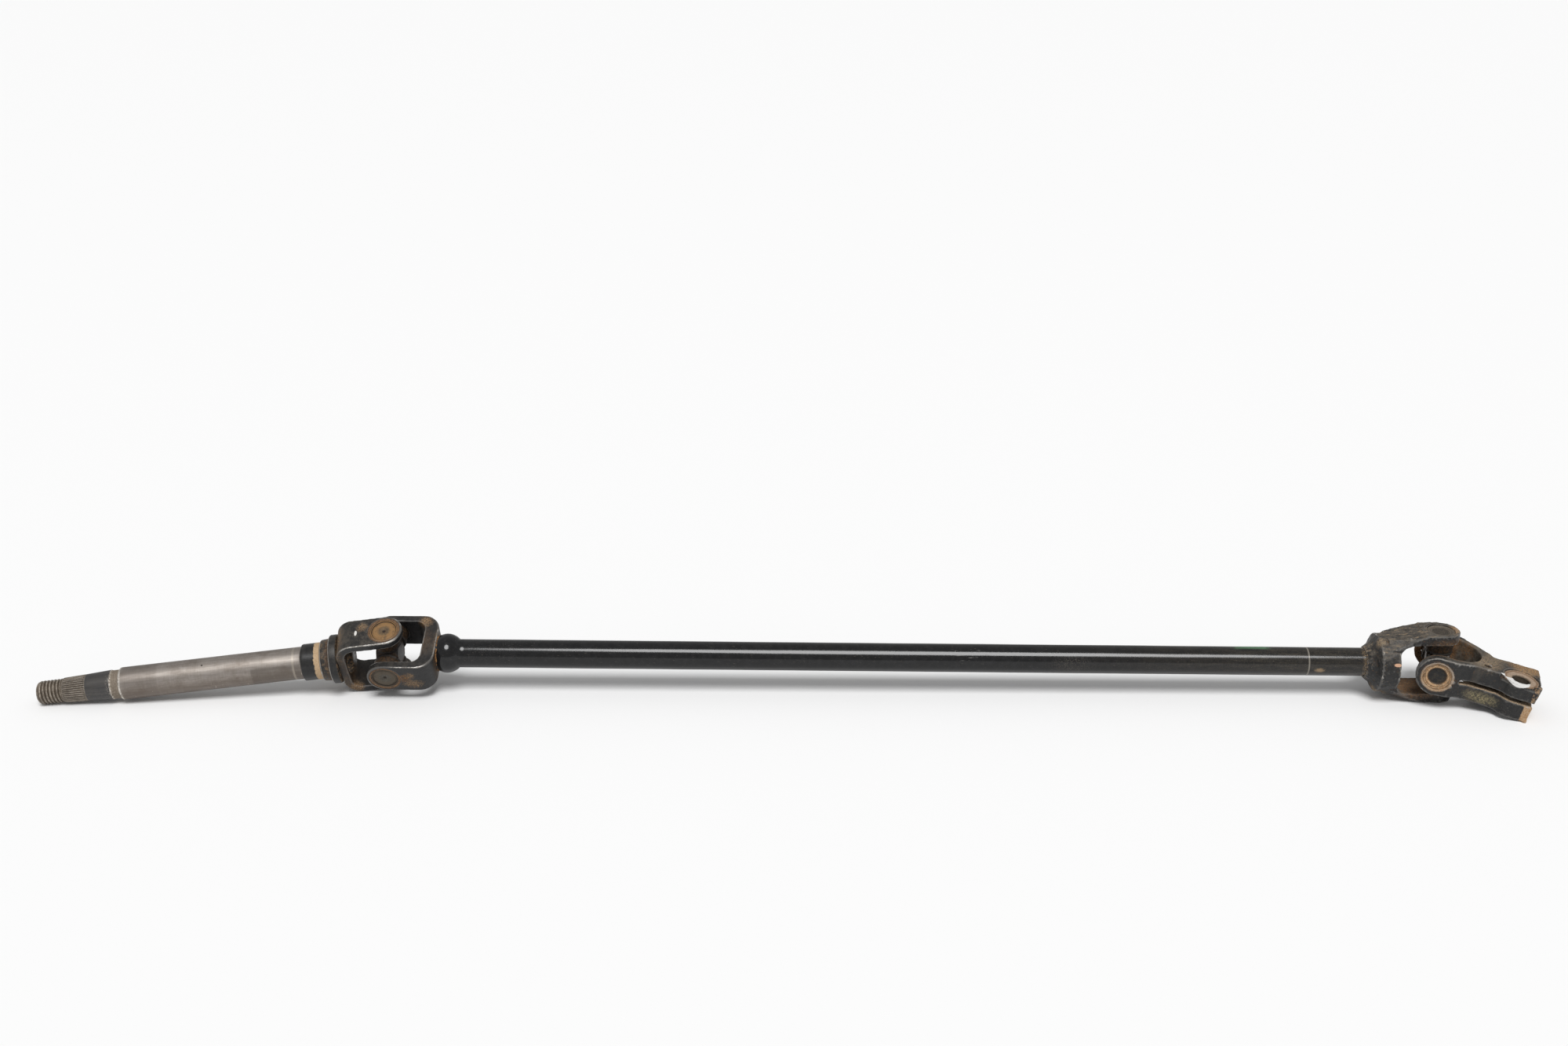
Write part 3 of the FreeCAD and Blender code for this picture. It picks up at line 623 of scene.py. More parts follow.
class Graph:
    """Node graph of one material, written as plain calls."""

    def __init__(self, name):
        self.material, self.shader = new_material(name)
        self.tree = self.material.node_tree
        self.local = self.attribute("local", "Vector")
        self.facing = self.attribute("facing", "Vector")
        self.top, self.wear, self.crease = [self.attribute(n, "Fac") for n in ("top", "wear", "crease")]
        self.along, self.across, self.level = self.axes(self.local)
        self.colour = PAINT

    def put(self, socket, value):
        """Links a socket, or sets its own value."""
        if isinstance(value, bpy.types.NodeSocket):
            self.tree.links.new(value, socket)
        elif isinstance(value, tuple) and len(value) == 3 and socket.type == "RGBA":
            socket.default_value = value + (1,)
        else:
            socket.default_value = value

    def node(self, kind, *values, **settings):
        """New node with its settings and the values of its first inputs."""
        node = self.tree.nodes.new("ShaderNode" + kind)
        for name, setting in settings.items():
            setattr(node, name, setting)
        for socket, value in zip(node.inputs, values):
            self.put(socket, value)
        return node

    def attribute(self, name, output):
        """One of the attributes that tag stores."""
        return self.node("Attribute", attribute_name=name).outputs[output]

    def axes(self, vector):
        """The three parts of a vector."""
        return tuple(self.node("SeparateXYZ", vector).outputs)

    def scaled(self, vector, by):
        """Vector stretched along its axes."""
        return self.node("VectorMath", vector, by, operation="MULTIPLY").outputs[0]

    def noise(self, scale, detail=5.0, rough=0.7, stretch=None, seed=0.0):
        """Noise in the part's own millimetres."""
        source = self.local if stretch is None else self.scaled(self.local, stretch)
        node = self.node("TexNoise", source, seed, scale, detail, rough, noise_dimensions="4D")
        return node.outputs["Fac"]

    def math(self, operation, a, b=0.0):
        """Sum, difference or the like of two numbers."""
        return self.node("Math", a, b, operation=operation).outputs[0]

    def times(self, *factors):
        """Product of masks and numbers."""
        product = factors[0]
        for factor in factors[1:]:
            product = self.math("MULTIPLY", product, factor)
        return product

    def ramp(self, value, low, high, start=0.0, end=1.0):
        """Smooth step of a value from low to high."""
        node = self.node("MapRange", value, low, high, start, end, interpolation_type="SMOOTHSTEP")
        return node.outputs["Result"]

    def mix(self, amount, a, b):
        """Blend of two colours."""
        node = self.node("Mix", amount, data_type="RGBA")
        self.put(node.inputs[6], a)
        self.put(node.inputs[7], b)
        return node.outputs[2]

    def coat(self, tint, *masks):
        """Lays a tint over the colour where all masks are set."""
        self.colour = self.mix(self.times(*masks), self.colour, tint)

    def blend(self, amount, a, b):
        """Blend of two numbers."""
        node = self.node("Mix", amount)
        self.put(node.inputs[2], a)
        self.put(node.inputs[3], b)
        return node.outputs[0]

    def band(self, value, start, end, soft):
        """Mask of values between start and end."""
        return self.math("MULTIPLY", self.ramp(value, start - soft, start + soft),
                         self.ramp(value, end - soft, end + soft, 1.0, 0.0))

    def toward(self, direction, low, high):
        """Mask of surfaces whose own normal points along a direction."""
        node = self.node("VectorMath", self.facing, direction, operation="DOT_PRODUCT")
        return self.ramp(node.outputs["Value"], low, high)

    def ragged(self, value, amount, scale=0.9, seed=0.0):
        """Value pushed about by noise, for torn borders."""
        push = self.math("SUBTRACT", self.noise(scale, seed=seed), 0.5)
        return self.math("ADD", value, self.math("MULTIPLY", push, amount))

    def distance(self, centre, stretch=(1, 1, 1)):
        """Distance to a point in own millimetres, stretched by axis."""
        offset = self.node("VectorMath", self.local, centre, operation="SUBTRACT").outputs[0]
        length = self.node("VectorMath", self.scaled(offset, stretch), operation="LENGTH")
        return length.outputs["Value"]

    def spot(self, centre, radius, soft, ragged=0.0, stretch=(1, 1, 1)):
        """Mask of a patch round a point in own millimetres."""
        distance = self.distance(centre, stretch)
        if ragged:
            distance = self.ragged(distance, ragged, seed=centre[0])
        return self.ramp(distance, radius - soft, radius + soft, 1.0, 0.0)

    def stain(self, centre, radius, strength, stretch=(1, 1, 1), ragged=7.0):
        """Patch with a torn border, broken up inside by fine noise."""
        patch = self.spot(centre, radius, radius * 0.5, ragged, stretch)
        broken = self.ramp(self.noise(1.3, 6.0, 0.75, seed=centre[1]), 0.4, 0.6, 0.15, 1.0)
        return self.times(patch, broken, strength)

    def bump(self, height, distance, strength):
        """Fine relief; distance is in millimetres."""
        node = self.node("Bump", strength, distance * MM)
        self.put(node.inputs["Height"], height)
        self.put(self.shader.inputs["Normal"], node.outputs["Normal"])

    def finish(self, roughness, metallic=0.0, specular=0.5):
        """Gives the colour and the surface to the shader."""
        self.put(self.shader.inputs["Base Color"], self.colour)
        self.put(self.shader.inputs["Roughness"], roughness)
        self.put(self.shader.inputs["Metallic"], metallic)
        self.shader.inputs["Specular IOR Level"].default_value = specular
        return self.material


# Paint and dirt of the yokes

def worn_paint(g, patches, gloss, dust, rust, bare, edge=None):
    """Black paint: rubbed edges, rust in creases, dust and painted sheen on upward faces, patches."""
    edge = g.wear if edge is None else edge
    broad = g.noise(0.09, 3.0, 0.55)
    middle = g.noise(0.45, rough=0.65, seed=3.0)
    fine = g.noise(2.4, rough=0.65, seed=7.0)
    grain = g.math("ADD", g.times(middle, 0.5), g.times(fine, 0.5))
    g.colour = g.mix(g.ramp(grain, 0.4, 0.64), PAINT, PAINT_GREY)
    g.coat(PAINT_RUBBED, g.ramp(g.ragged(edge, 0.5, 1.3, 5.0), 0.25, 0.95), 0.7)
    cloud = g.ramp(g.noise(0.17, rough=0.65, seed=11.0), 0.43, 0.58, 0.22, 1.0)
    powder = g.ramp(g.math("ADD", fine, middle), 0.7, 1.25, 0.15, 1.0)
    # Upward faces get a lighter coat: settled dust that also serves as painted sheen; its amount is given by dust.
    top_dust_and_sheen = g.times(g.ramp(g.top, 0.0, 0.95), powder, cloud, dust)
    g.coat(g.mix(g.ramp(fine, 0.3, 0.7), DUST_BROWN, DUST_GREY), top_dust_and_sheen)
    deep = g.math("ADD", g.crease, g.times(g.math("SUBTRACT", middle, 0.6), 0.9))
    rusty = g.times(g.ramp(deep, 0.18, 0.65), rust)
    g.coat(g.mix(g.ramp(fine, 0.38, 0.62), RUST_DARK, RUST_BROWN), rusty)
    rough = g.ramp(grain, 0.3, 0.7, gloss, gloss + 0.1)
    rough = g.blend(g.math("MAXIMUM", rusty, top_dust_and_sheen), rough, 0.8)
    for mask, tint, tint_rough in patches:
        g.coat(tint, mask)
        rough = g.blend(mask, rough, tint_rough)
    gate = g.math("ADD", g.ramp(broad, 0.58, 0.7), bare)
    metal = g.times(g.ramp(g.ragged(edge, 0.6, 1.2, 9.0), 0.62, 0.92), gate)
    metal = g.math("MINIMUM", metal, 1.0)
    g.coat(g.mix(g.ramp(middle, 0.4, 0.65), BARE_STEEL, BARE_DULL), metal)
    rough = g.blend(metal, rough, 0.36)
    g.bump(g.math("ADD", fine, g.times(middle, 0.8)), 0.1, 0.45)
    return g.finish(rough, g.times(metal, 0.6), specular=0.34)


def mottled(g, low, high, seed):
    """Two tones of one stain, broken by fine noise."""
    return g.mix(g.ramp(g.noise(1.7, seed=seed), 0.34, 0.66), low, high)


def chips(g):
    """Mask of small sharp flecks."""
    return g.ramp(g.noise(1.2, 3.0, 0.6, seed=13.0), 0.64, 0.69)


def ear_ring(g, face, inner, outer):
    """Mask of the rusty ring that the cup leaves on both ears."""
    out = g.math("ABSOLUTE", g.across)
    from_axis = g.distance((0, 0, 0), (1, 0, 1))
    ring = g.band(g.ragged(from_axis, 1.6, 1.1, 2.0), inner, outer, 0.5)
    return g.times(ring, g.ramp(out, face - 1.2, face - 0.5))


def upper_yoke_paint():
    """Folded yoke on the shaft: stained round its cup, with a chalk mark."""
    g = Graph("upper_yoke_paint")
    rust = mottled(g, RUST_DARK, RUST_ORANGE, 1.0)
    tan = mottled(g, RUST_BROWN, TAN, 2.0)
    face = STRIP_EAR_FACE
    patches = [
        (g.times(ear_ring(g, face, 7.8, 9.3), 0.6), rust, 0.85),
        (g.stain((12.8, face, 4.4), 2.8, 0.8), tan, 0.9),
        (g.stain((29.0, 12.0, 0.0), 9.0, 0.7, (1.8, 1, 0.8)), tan, 0.9),
        (g.stain((29.0, -12.0, 0.0), 9.0, 0.7, (1.8, 1, 0.8)), tan, 0.9),
        (g.stain((22.5, -15.4, -10.6), 3.6, 1.0, ragged=5.0), tan, 0.9),
        (g.stain((21.0, 0.0, 0.0), 13.0, 0.5, (1.6, 1, 1)), rust, 0.85),
        (g.spot((16.6, face, 0.1), 2.0, 0.35, 1.8, (2.7, 1, 1)), CHALK, 0.7)]
    boost = g.times(g.spot((8.0, face, STRIP_EDGE), 16.0, 4.0, 4.0, (0.8, 3, 3)), 0.8)
    # The dust amount here also lightens the upward faces as painted sheen.
    return worn_paint(g, patches, gloss=0.33, dust=0.46, rust=0.7, bare=boost)


def tube_yoke_paint():
    """Folded yoke on the tube: rusty at its root and beside its cup."""
    g = Graph("tube_yoke_paint")
    rust = mottled(g, RUST_DARK, RUST_ORANGE, 1.0)
    tan = mottled(g, RUST_BROWN, TAN, 2.0)
    face = STRIP_EAR_FACE
    patches = [
        (g.times(ear_ring(g, face, 7.8, 9.2), 0.6), rust, 0.85),
        (g.stain((20.5, -15.5, -9.5), 3.8, 1.0, ragged=5.0), tan, 0.9),
        (g.stain((32.0, 0.0, 0.0), 14.5, 0.9, (3.2, 1, 1), 5.0), tan, 0.9),
        (g.stain((11.5, face, -0.5), 3.2, 0.9), rust, 0.9),
        (g.stain((16.5, face, 4.2), 4.0, 0.8, (0.8, 1, 1.3), 9.0), tan, 0.9),
        (g.stain((15.5, face, -3.0), 2.4, 0.7, ragged=6.0), tan, 0.9),
        (g.stain((21.0, 0.0, 0.0), 12.0, 0.45, (1.6, 1, 1)), rust, 0.85)]
    boost = g.math("ADD", g.times(g.spot((15.0, face, STRIP_EDGE), 9.0, 3.0, 3.0), 0.9),
                   g.times(g.spot((25.0, 2.0, STRIP_EDGE), 10.0, 3.0, 3.0), 0.5))
    return worn_paint(g, patches, gloss=0.33, dust=0.24, rust=0.7, bare=boost)


def lower_yoke_paint():
    """Forged fork: dust brushed over its top, rust inside, tan weld."""
    g = Graph("lower_yoke_paint")
    rust = mottled(g, RUST_BROWN, RUST_ORANGE, 1.0)
    tan = mottled(g, DUST_GREY, TAN, 2.0)
    brushed = g.noise(1.0, 6.0, 0.68, stretch=(0.22, 0.55, 0.8), seed=6.0)
    on_top = g.ramp(g.top, 0.45, 0.85)
    bead = g.band(g.ragged(g.along, 1.2, 1.4, 3.0), FORK_WELD + 0.4, FORK_WELD + 1.6, 0.3)
    lit = g.ramp(g.noise(1.5, 4.0, seed=8.0), 0.5, 0.62)
    ear_stain = g.stain((-7.0, LOWER_EAR_FACE, 0.0), 4.4, 1.0, ragged=4.5)
    patches = [
        (g.times(on_top, g.ramp(brushed, 0.46, 0.58), 0.5), DUST_GREY, 0.8),
        (g.times(on_top, g.ramp(brushed, 0.56, 0.64), 0.55), TAN, 0.8),
        (g.times(chips(g), 0.5), TAN, 0.85),
        (g.stain((37.0, 15.9, -6.1), 3.2, 1.0, ragged=4.0), tan, 0.9),
        (g.stain((36.0, -16.0, -6.0), 4.8, 1.0), tan, 0.9),
        (ear_stain, mottled(g, RUST_ORANGE, TAN_PALE, 4.0), 0.9),
        (g.stain((13.0, -LOWER_EAR_INSIDE, 0.0), 12.0, 1.0, (0.8, 2.6, 1)), rust, 0.8),
        (g.stain((0.0, LOWER_EAR_INSIDE, 0.0), 12.0, 0.8, (1, 2.6, 1)), rust, 0.8),
        (g.times(bead, lit, 0.7), TAN, 0.9),
        (g.spot((28.6, 5.6, -16.4), 1.3, 0.25, 1.0, (0.62, 1.3, 1)), COPPER, 0.45)]
    boost = g.times(g.spot((32.0, 11.5, -13.0), 4.5, 2.0, 3.0), 0.9)
    return worn_paint(g, patches, gloss=0.38, dust=0.85, rust=0.5, bare=boost)


def clamp_inside(g):
    """Dusty hollow of the clamp, and rust inside its ears."""
    inside = g.ramp(g.math("ABSOLUTE", g.across), 17.2, 15.6)
    hollow = g.times(g.ramp(g.along, 24.0, 21.0), inside)
    ear = g.times(g.ramp(g.ragged(g.along, 4.0, 0.5), 13.0, 9.0), inside)
    dusty = g.mix(g.ramp(g.noise(0.3, 4.0, 0.6), 0.4, 0.62), DUST_BROWN, DUST_GREY)
    rust = mottled(g, RUST_DARK, RUST_ORANGE, 1.0)
    return [
        (g.times(hollow, 0.75), dusty, 0.85),
        (g.times(ear, 0.8), rust, 0.8),
        (g.stain((16.0, 12.0, 8.0), 4.5, 0.8), rust, 0.85)]


def bolt_seat(g):
    """Pinkish milled seat of the pinch bolt, with its rim and hole."""
    pink = mottled(g, (0.26, 0.185, 0.13), (0.42, 0.315, 0.23), 5.0)
    from_hole = g.distance((PINCH_HOLE[0], PINCH_HOLE[1], 0), (1, 1, 0))
    seat = g.ramp(g.ragged(from_hole, 0.8), SPOT_FACE_RADIUS - 0.6, SPOT_FACE_RADIUS, 1.0, 0.0)
    seat = g.times(seat, g.ramp(g.level, 9.6, 10.2), g.ramp(g.level, 11.4, 11.2))
    return [
        (g.times(seat, 0.9), pink, 0.8),
        (g.times(seat, g.band(from_hole, 8.3, 9.4, 0.4), 0.7), RUST_BROWN, 0.8),
        (g.times(g.ramp(from_hole, 5.8, 5.3), 0.6), DUST_BROWN, 0.85)]


def end_strip(g):
    """Tan strip on the ends of both lugs, wider on the lower one."""
    upper_lug = g.ramp(g.level, -1.0, 0.0)
    start = g.blend(upper_lug, CLAMP_END - 5.6, CLAMP_END - 3.4)
    near_end = g.ramp(g.math("SUBTRACT", g.ragged(g.along, 1.6, 1.2, 2.0), start), -0.3, 0.3)
    outer = g.math("MAXIMUM", g.ramp(g.across, -19.0, -20.0), g.ramp(g.axes(g.facing)[0], 0.45, 0.8))
    patchy = g.ramp(g.noise(0.5, seed=15.0), 0.46, 0.58)
    return g.times(near_end, outer, g.blend(upper_lug, 0.9, g.times(patchy, 0.7)))


def slot_lip(g):
    """Mask of the upward edge of the slot, at the front of the lugs, for dust and painted highlight."""
    upward = g.ramp(g.axes(g.facing)[2], 0.35, 0.8)
    return g.times(g.band(g.level, -3.4, 3.0, 0.6), upward, g.ramp(g.across, -9.0, -13.0))


def bare_crescent_glint(g):
    """Bare metal where the milled bolt seat breaks out of the lug, coloured near white as a painted highlight."""
    bow = g.math("ABSOLUTE", g.times(g.math("SUBTRACT", g.along, 42.5), 1 / 9.5))
    low = g.math("ADD", g.times(g.math("POWER", bow, 1.6), 3.4), 8.7)
    height = g.ragged(g.level, 0.7, 1.0)
    reach = g.band(g.along, 32.4, 50.0, 0.5)
    front = g.ramp(g.across, LUG_FRONT + 0.8, LUG_FRONT)
    return g.times(g.ramp(g.math("SUBTRACT", height, low), -0.2, 0.2), reach, front)


def clamp_yoke_paint():
    """Forged clamp: dusty top, pink bolt seat, tan lug ends, olive stain."""
    g = Graph("clamp_yoke_paint")
    tan = mottled(g, DUST_GREY, TAN, 2.0)
    pale = mottled(g, RUST_ORANGE, TAN_PALE, 10.0)
    speck = g.ramp(g.noise(2.2, rough=0.75, seed=12.0), 0.55, 0.68)
    lug = g.times(g.ramp(g.across, -18.0, -20.5), speck)
    far_stain = g.stain((49.0, 1.5, CLAMP_TOP), 7.5, 1.1, (0.8, 1, 1), 5.0)
    side_stain = g.stain((27.5, -16.7, -6.6), 3.6, 0.9, (0.4, 1, 1.1), 5.0)
    on_top = [
        (g.stain((25.0, -7.5, CLAMP_TOP), 7.5, 1.0, (0.9, 1, 1), 6.0), tan, 0.9),
        (g.stain((31.0, 4.0, CLAMP_TOP), 6.0, 0.8), tan, 0.9),
        (far_stain, mottled(g, RUST_ORANGE, TAN, 7.0), 0.9)]
    on_lugs = [
        (end_strip(g), mottled(g, RUST_ORANGE, TAN_PALE, 8.0), 0.9),
        # Pale tan on the slot's upward lip: dust, and a painted highlight of the lip.
        (g.times(slot_lip(g), 0.85), mottled(g, DUST_BROWN, TAN_PALE, 9.0), 0.9),
        (g.times(lug, 0.45), DUST_GREY, 0.85),
        (g.times(chips(g), 0.45), DUST_GREY, 0.85),
        (side_stain, mottled(g, DUST_BROWN, OLIVE, 6.0), 0.9),
        (g.times(ear_ring(g, CLAMP_EAR_FACE, 7.6, 9.2), 0.7), pale, 0.7),
        # Near-black spot: painted shade of a small pit.
        (g.spot((25.6, -11.3, 9.0), 2.3, 0.3, 0.5, (1, 1, 0.5)), (0.018, 0.012, 0.008), 0.9),
        # Bare metal crescent, near white as a painted highlight of the metal.
        (bare_crescent_glint(g), (0.66, 0.65, 0.63), 0.4)]
    patches = clamp_inside(g) + on_top + bolt_seat(g) + on_lugs
    boost = g.times(g.spot((4.0, -20.0, 10.0), 14.0, 4.0, 4.0), 0.35)
    return worn_paint(g, patches, gloss=0.38, dust=0.72, rust=0.35, bare=boost)


# Finishes of the shaft and the tube

def shoulder_paint():
    """Black painted shoulder with light chips on its edges and tan dust."""
    g = Graph("shoulder_paint")
    torn = g.ramp(g.noise(0.5, 6.0, 0.75), 0.46, 0.58)
    low_step = g.band(g.along, SHOULDER_STEP - 0.2, SHOULDER_END + 1.0, 0.7)
    root = g.ramp(g.along, SHOULDER_START + 0.9, SHOULDER_START + 0.1)
    edge = g.math("ADD", g.band(g.along, SHOULDER_STEP - 0.6, SHOULDER_STEP + 0.4, 0.25),
                  g.band(g.along, SHOULDER_END - 1.0, SHOULDER_END - 0.2, 0.2))
    tan = mottled(g, RUST_BROWN, TAN, 2.0)
    patches = [(g.times(low_step, torn, 0.3), tan, 0.9), (g.times(root, torn, 0.6), tan, 0.9)]
    return worn_paint(g, patches, gloss=0.33, dust=0.35, rust=0.3, bare=0.45, edge=g.times(edge, 0.9))


def collar_paint():
    """Gloss black collar with a tan dust band beside the shoulder."""
    g = Graph("collar_paint")
    border = g.ragged(g.along, 2.6, 0.6)
    tan = g.ramp(border, SHOULDER_END + 3.0, SHOULDER_END + 3.6, 1.0, 0.0)
    thin = g.band(g.along, COLLAR_END - 0.8, COLLAR_END, 0.3)
    patches = [(g.times(tan, 0.95), mottled(g, TAN, TAN_PALE, 3.0), 0.9)]
    return worn_paint(g, patches, gloss=0.26, dust=0.1, rust=0.2, bare=0.0, edge=g.times(thin, 0.5))


def tube_damage(g, fine):
    """Scraped and dulled patches of the tube; returns where it lost gloss."""
    keyed = g.ramp(g.noise(0.8, rough=0.6, stretch=(0.22, 1.6, 1.6), seed=15.0), 0.59, 0.63)
    scraped = g.times(g.spot(TUBE_SCRAPE, 10.0, 5.0, 9.0, (0.75, 2.6, 2.6)), keyed)
    g.coat((0.26, 0.25, 0.235), scraped, 0.4)
    dulled = g.times(g.spot(TUBE_DULL, 10.0, 6.0, 9.0, (0.9, 2.2, 2.2)), g.ramp(fine, 0.46, 0.64))
    g.coat(DUST_GREY, dulled, 0.28)
    return g.math("ADD", scraped, dulled)


def tube_paint():
    """Gloss black tube, dusty brown towards its far end."""
    g = Graph("tube_gloss_black")
    middle = g.noise(0.3, rough=0.65)
    fine = g.noise(1.8, rough=0.65, seed=2.0)
    streaky = g.math("ADD", g.noise(1.0, stretch=(0.06, 0.5, 0.5), seed=12.0), fine)
    scratch = g.noise(1.0, 3.0, 0.55, stretch=(0.5, 2.4, 2.4), seed=5.0)
    specks = g.ramp(g.noise(1.1, 2.0, 0.5, seed=8.0), 0.72, 0.76)
    far = g.ramp(g.ragged(g.along, 60.0, 0.02), *TUBE_DUSTY)
    dusty = g.times(far, g.ramp(streaky, 0.85, 1.25, 0.08, 0.6))
    g.colour = g.mix(g.ramp(middle, 0.38, 0.72), (0.0055, 0.0055, 0.0058), (0.012, 0.012, 0.0125))
    g.coat((0.06, 0.05, 0.036), dusty)
    g.coat(DUST_GREY, specks, g.blend(far, 0.35, 0.8))
    g.coat(DUST_GREY, g.ramp(scratch, 0.64, 0.69), 0.35)
    g.coat((0.42, 0.38, 0.32), g.band(g.along, TUBE_RING - 0.4, TUBE_RING + 0.4, 0.25), 0.4)
    g.coat(TAN, g.spot(TUBE_SMUDGE, 1.3, 0.7, 2.0, (0.5, 1, 1)), 0.6)
    damage = tube_damage(g, fine)
    green = g.band(g.ragged(g.along, 12.0, 0.3), *TUBE_GREEN, 3.0)
    far_top = g.toward(TUBE_FAR_TOP, 0.8, 0.93)
    g.coat((0.062, 0.165, 0.078), green, far_top, g.ramp(streaky, 0.8, 1.15, 0.3, 0.9))
    scuffs = g.times(g.band(g.along, *TUBE_SCUFFED, 6.0), g.ramp(fine, 0.58, 0.68))
    g.coat((0.1, 0.095, 0.088), scuffs, 0.5)
    end_dust = g.ramp(g.ragged(g.along, 3.0, 0.5), *TUBE_END_DUST)
    g.coat(TAN, end_dust, g.ramp(fine, 0.45, 0.62), 0.7)
    dull = g.math("ADD", g.times(scuffs, 0.2), g.times(damage, 0.3))
    g.bump(g.math("ADD", g.times(middle, 0.6), g.times(fine, 0.6)), 0.03, 0.35)
    return g.finish(g.math("ADD", g.blend(dusty, 0.15, 0.18), dull), specular=0.38)


def weld_rust():
    """Tan and rust coloured weld, black where the paint has held."""
    g = Graph("weld_rust")
    fine = g.noise(2.0, seed=4.0)
    g.colour = mottled(g, RUST_DARK, RUST_ORANGE, 1.0)
    g.coat(PAINT_GREY, g.ramp(g.noise(0.3, 3.0, 0.6), 0.46, 0.58))
    g.coat(TAN, g.ramp(fine, 0.56, 0.68), 0.7)
    g.bump(fine, 0.2, 0.6)
    return g.finish(0.78, specular=0.3)


def turned_steel(g, light, dark, stain):
    """Rings, streaks and stains of turned steel; returns its roughness."""
    rings = g.noise(1.0, rough=0.75, stretch=(6.0, 0.05, 0.05))
    streaks = g.noise(1.0, 4.0, 0.6, stretch=(0.07, 0.8, 0.8), seed=4.0)
    broad = g.noise(0.06, 6.0, 0.72, seed=9.0)
    tone = g.math("ADD", g.times(rings, 0.4), g.times(streaks, 0.6))
    g.colour = g.mix(g.ramp(tone, 0.34, 0.66), dark, light)
    g.coat(stain, g.ramp(broad, 0.44, 0.68), 0.75)
    g.bump(g.math("ADD", rings, g.times(streaks, 0.4)), 0.03, 0.4)
    return g.ramp(tone, 0.25, 0.75, 0.52, 0.38)


def journal_steel():
    """Ground journal, warm grey, with rubbed bands, a few black pits and painted shade on its underside."""
    g = Graph("journal_steel")
    rough = turned_steel(g, (0.36, 0.325, 0.295), (0.235, 0.207, 0.183), (0.175, 0.145, 0.12))
    # Painted shade: the underside is coloured darker and browner.
    low_side = g.ramp(g.ragged(g.top, 0.5, 0.4), 0.35, -0.35)
    g.coat((0.12, 0.094, 0.074), low_side, 0.62)
    g.coat((0.095, 0.08, 0.066), g.band(g.along, *JOURNAL_GREY, 0.6), g.ramp(g.top, 0.45, 0.25), 0.5)
    g.coat((0.13, 0.105, 0.088), g.band(g.ragged(g.along, 2.0, 0.5), *JOURNAL_RUBBED, 1.5), 0.35)
    g.coat((0.46, 0.41, 0.34), g.band(g.ragged(g.along, 0.5, 0.4), *JOURNAL_RING, 0.3), 0.4)
    bright = g.band(g.along, JOURNAL_END - 1.3, JOURNAL_END + 0.3, 0.3)
    g.coat((0.68, 0.64, 0.58), bright, g.ramp(g.noise(0.6, 4.0, seed=3.0), 0.36, 0.52), 0.85)
    marks = g.noise(1.0, 3.0, 0.6, stretch=(0.8, 0.25, 0.25), seed=14.0)
    g.coat((0.42, 0.37, 0.31), g.ramp(marks, 0.66, 0.7), low_side, 0.7)
    for pit in JOURNAL_PITS:
        g.coat((0.015, 0.012, 0.01), g.spot(pit, 0.55, 0.2, 0.5))
    return g.finish(rough, metallic=0.72)


def groove_dust():
    """Groove packed with tan dust."""
    g = Graph("groove_dust")
    fine = g.noise(1.2)
    at_end = g.ramp(g.along, GROOVE_END - 1.0, GROOVE_END)
    g.colour = g.mix(g.ramp(fine, 0.3, 0.7), (0.125, 0.1, 0.076), (0.245, 0.205, 0.16))
    g.coat((0.6, 0.56, 0.5), at_end, g.ramp(fine, 0.44, 0.56))
    g.bump(fine, 0.1, 0.4)
    return g.finish(0.8, metallic=0.1, specular=0.3)


def taper_black():
    """Blackened taper, rubbed light beside the groove."""
    g = Graph("taper_black")
    rough = turned_steel(g, (0.07, 0.066, 0.064), (0.04, 0.039, 0.039), (0.058, 0.052, 0.046))
    fine = g.noise(1.1, seed=5.0)
    beside = g.ramp(g.along, GROOVE_END + 3.0, GROOVE_END + 0.6)
    g.coat((0.42, 0.38, 0.33), beside, g.ramp(fine, 0.52, 0.66), 0.8)
    g.coat(DUST_GREY, g.ramp(g.top, 0.55, -0.5), g.ramp(fine, 0.52, 0.68), 0.5)
    return g.finish(rough, metallic=0.35)


def serration_steel():
    """Bright tooth crests over dark roots."""
    g = Graph("serration_steel")
    fine = g.noise(1.4, 4.0, 0.6)
    broad = g.noise(0.22, 4.0, 0.65, seed=8.0)
    g.colour = g.mix(g.ramp(g.wear, 0.0, 0.5), (0.15, 0.13, 0.108), (0.3, 0.265, 0.228))
    g.coat((0.056, 0.046, 0.036), g.ramp(g.crease, 0.05, 0.5))
    g.coat((0.145, 0.115, 0.085), g.ramp(fine, 0.42, 0.58), 0.6)
    g.coat((0.08, 0.066, 0.052), g.ramp(broad, 0.47, 0.6), 0.55)
    return g.finish(0.42, metallic=0.6)


def thread_steel():
    """Worn thread: pale crests, brown dirt in the roots."""
    g = Graph("thread_steel")
    fine = g.noise(0.9)
    broad = g.noise(0.22, 4.0, 0.65, seed=8.0)
    g.colour = g.mix(g.ramp(g.wear, 0.1, 0.8), (0.135, 0.11, 0.086), (0.36, 0.315, 0.262))
    g.coat((0.056, 0.042, 0.029), g.ramp(g.crease, 0.02, 0.5))
    g.coat((0.122, 0.094, 0.066), g.ramp(fine, 0.42, 0.58), 0.75)
    g.coat((0.08, 0.062, 0.046), g.ramp(broad, 0.46, 0.58), 0.55)
    g.bump(fine, 0.08, 0.4)
    return g.finish(0.46, metallic=0.45)


# Finishes of the joints

def finish_cup(g, face_start, face_rough, metallic, relief):
    """Sets the cup's face over a dark greasy wall that is rusty in places."""
    fine = g.noise(1.1, seed=6.0)
    wall = g.mix(g.ramp(fine, 0.42, 0.68), (0.02, 0.015, 0.011), (0.105, 0.055, 0.024))
    on_face = g.ramp(g.along, face_start - 0.3, face_start)
    g.colour = g.mix(on_face, wall, g.colour)
    g.bump(g.noise(2.0, seed=4.0), relief, 0.55)
    return g.finish(g.blend(on_face, 0.5, face_rough), metallic, specular=0.35)


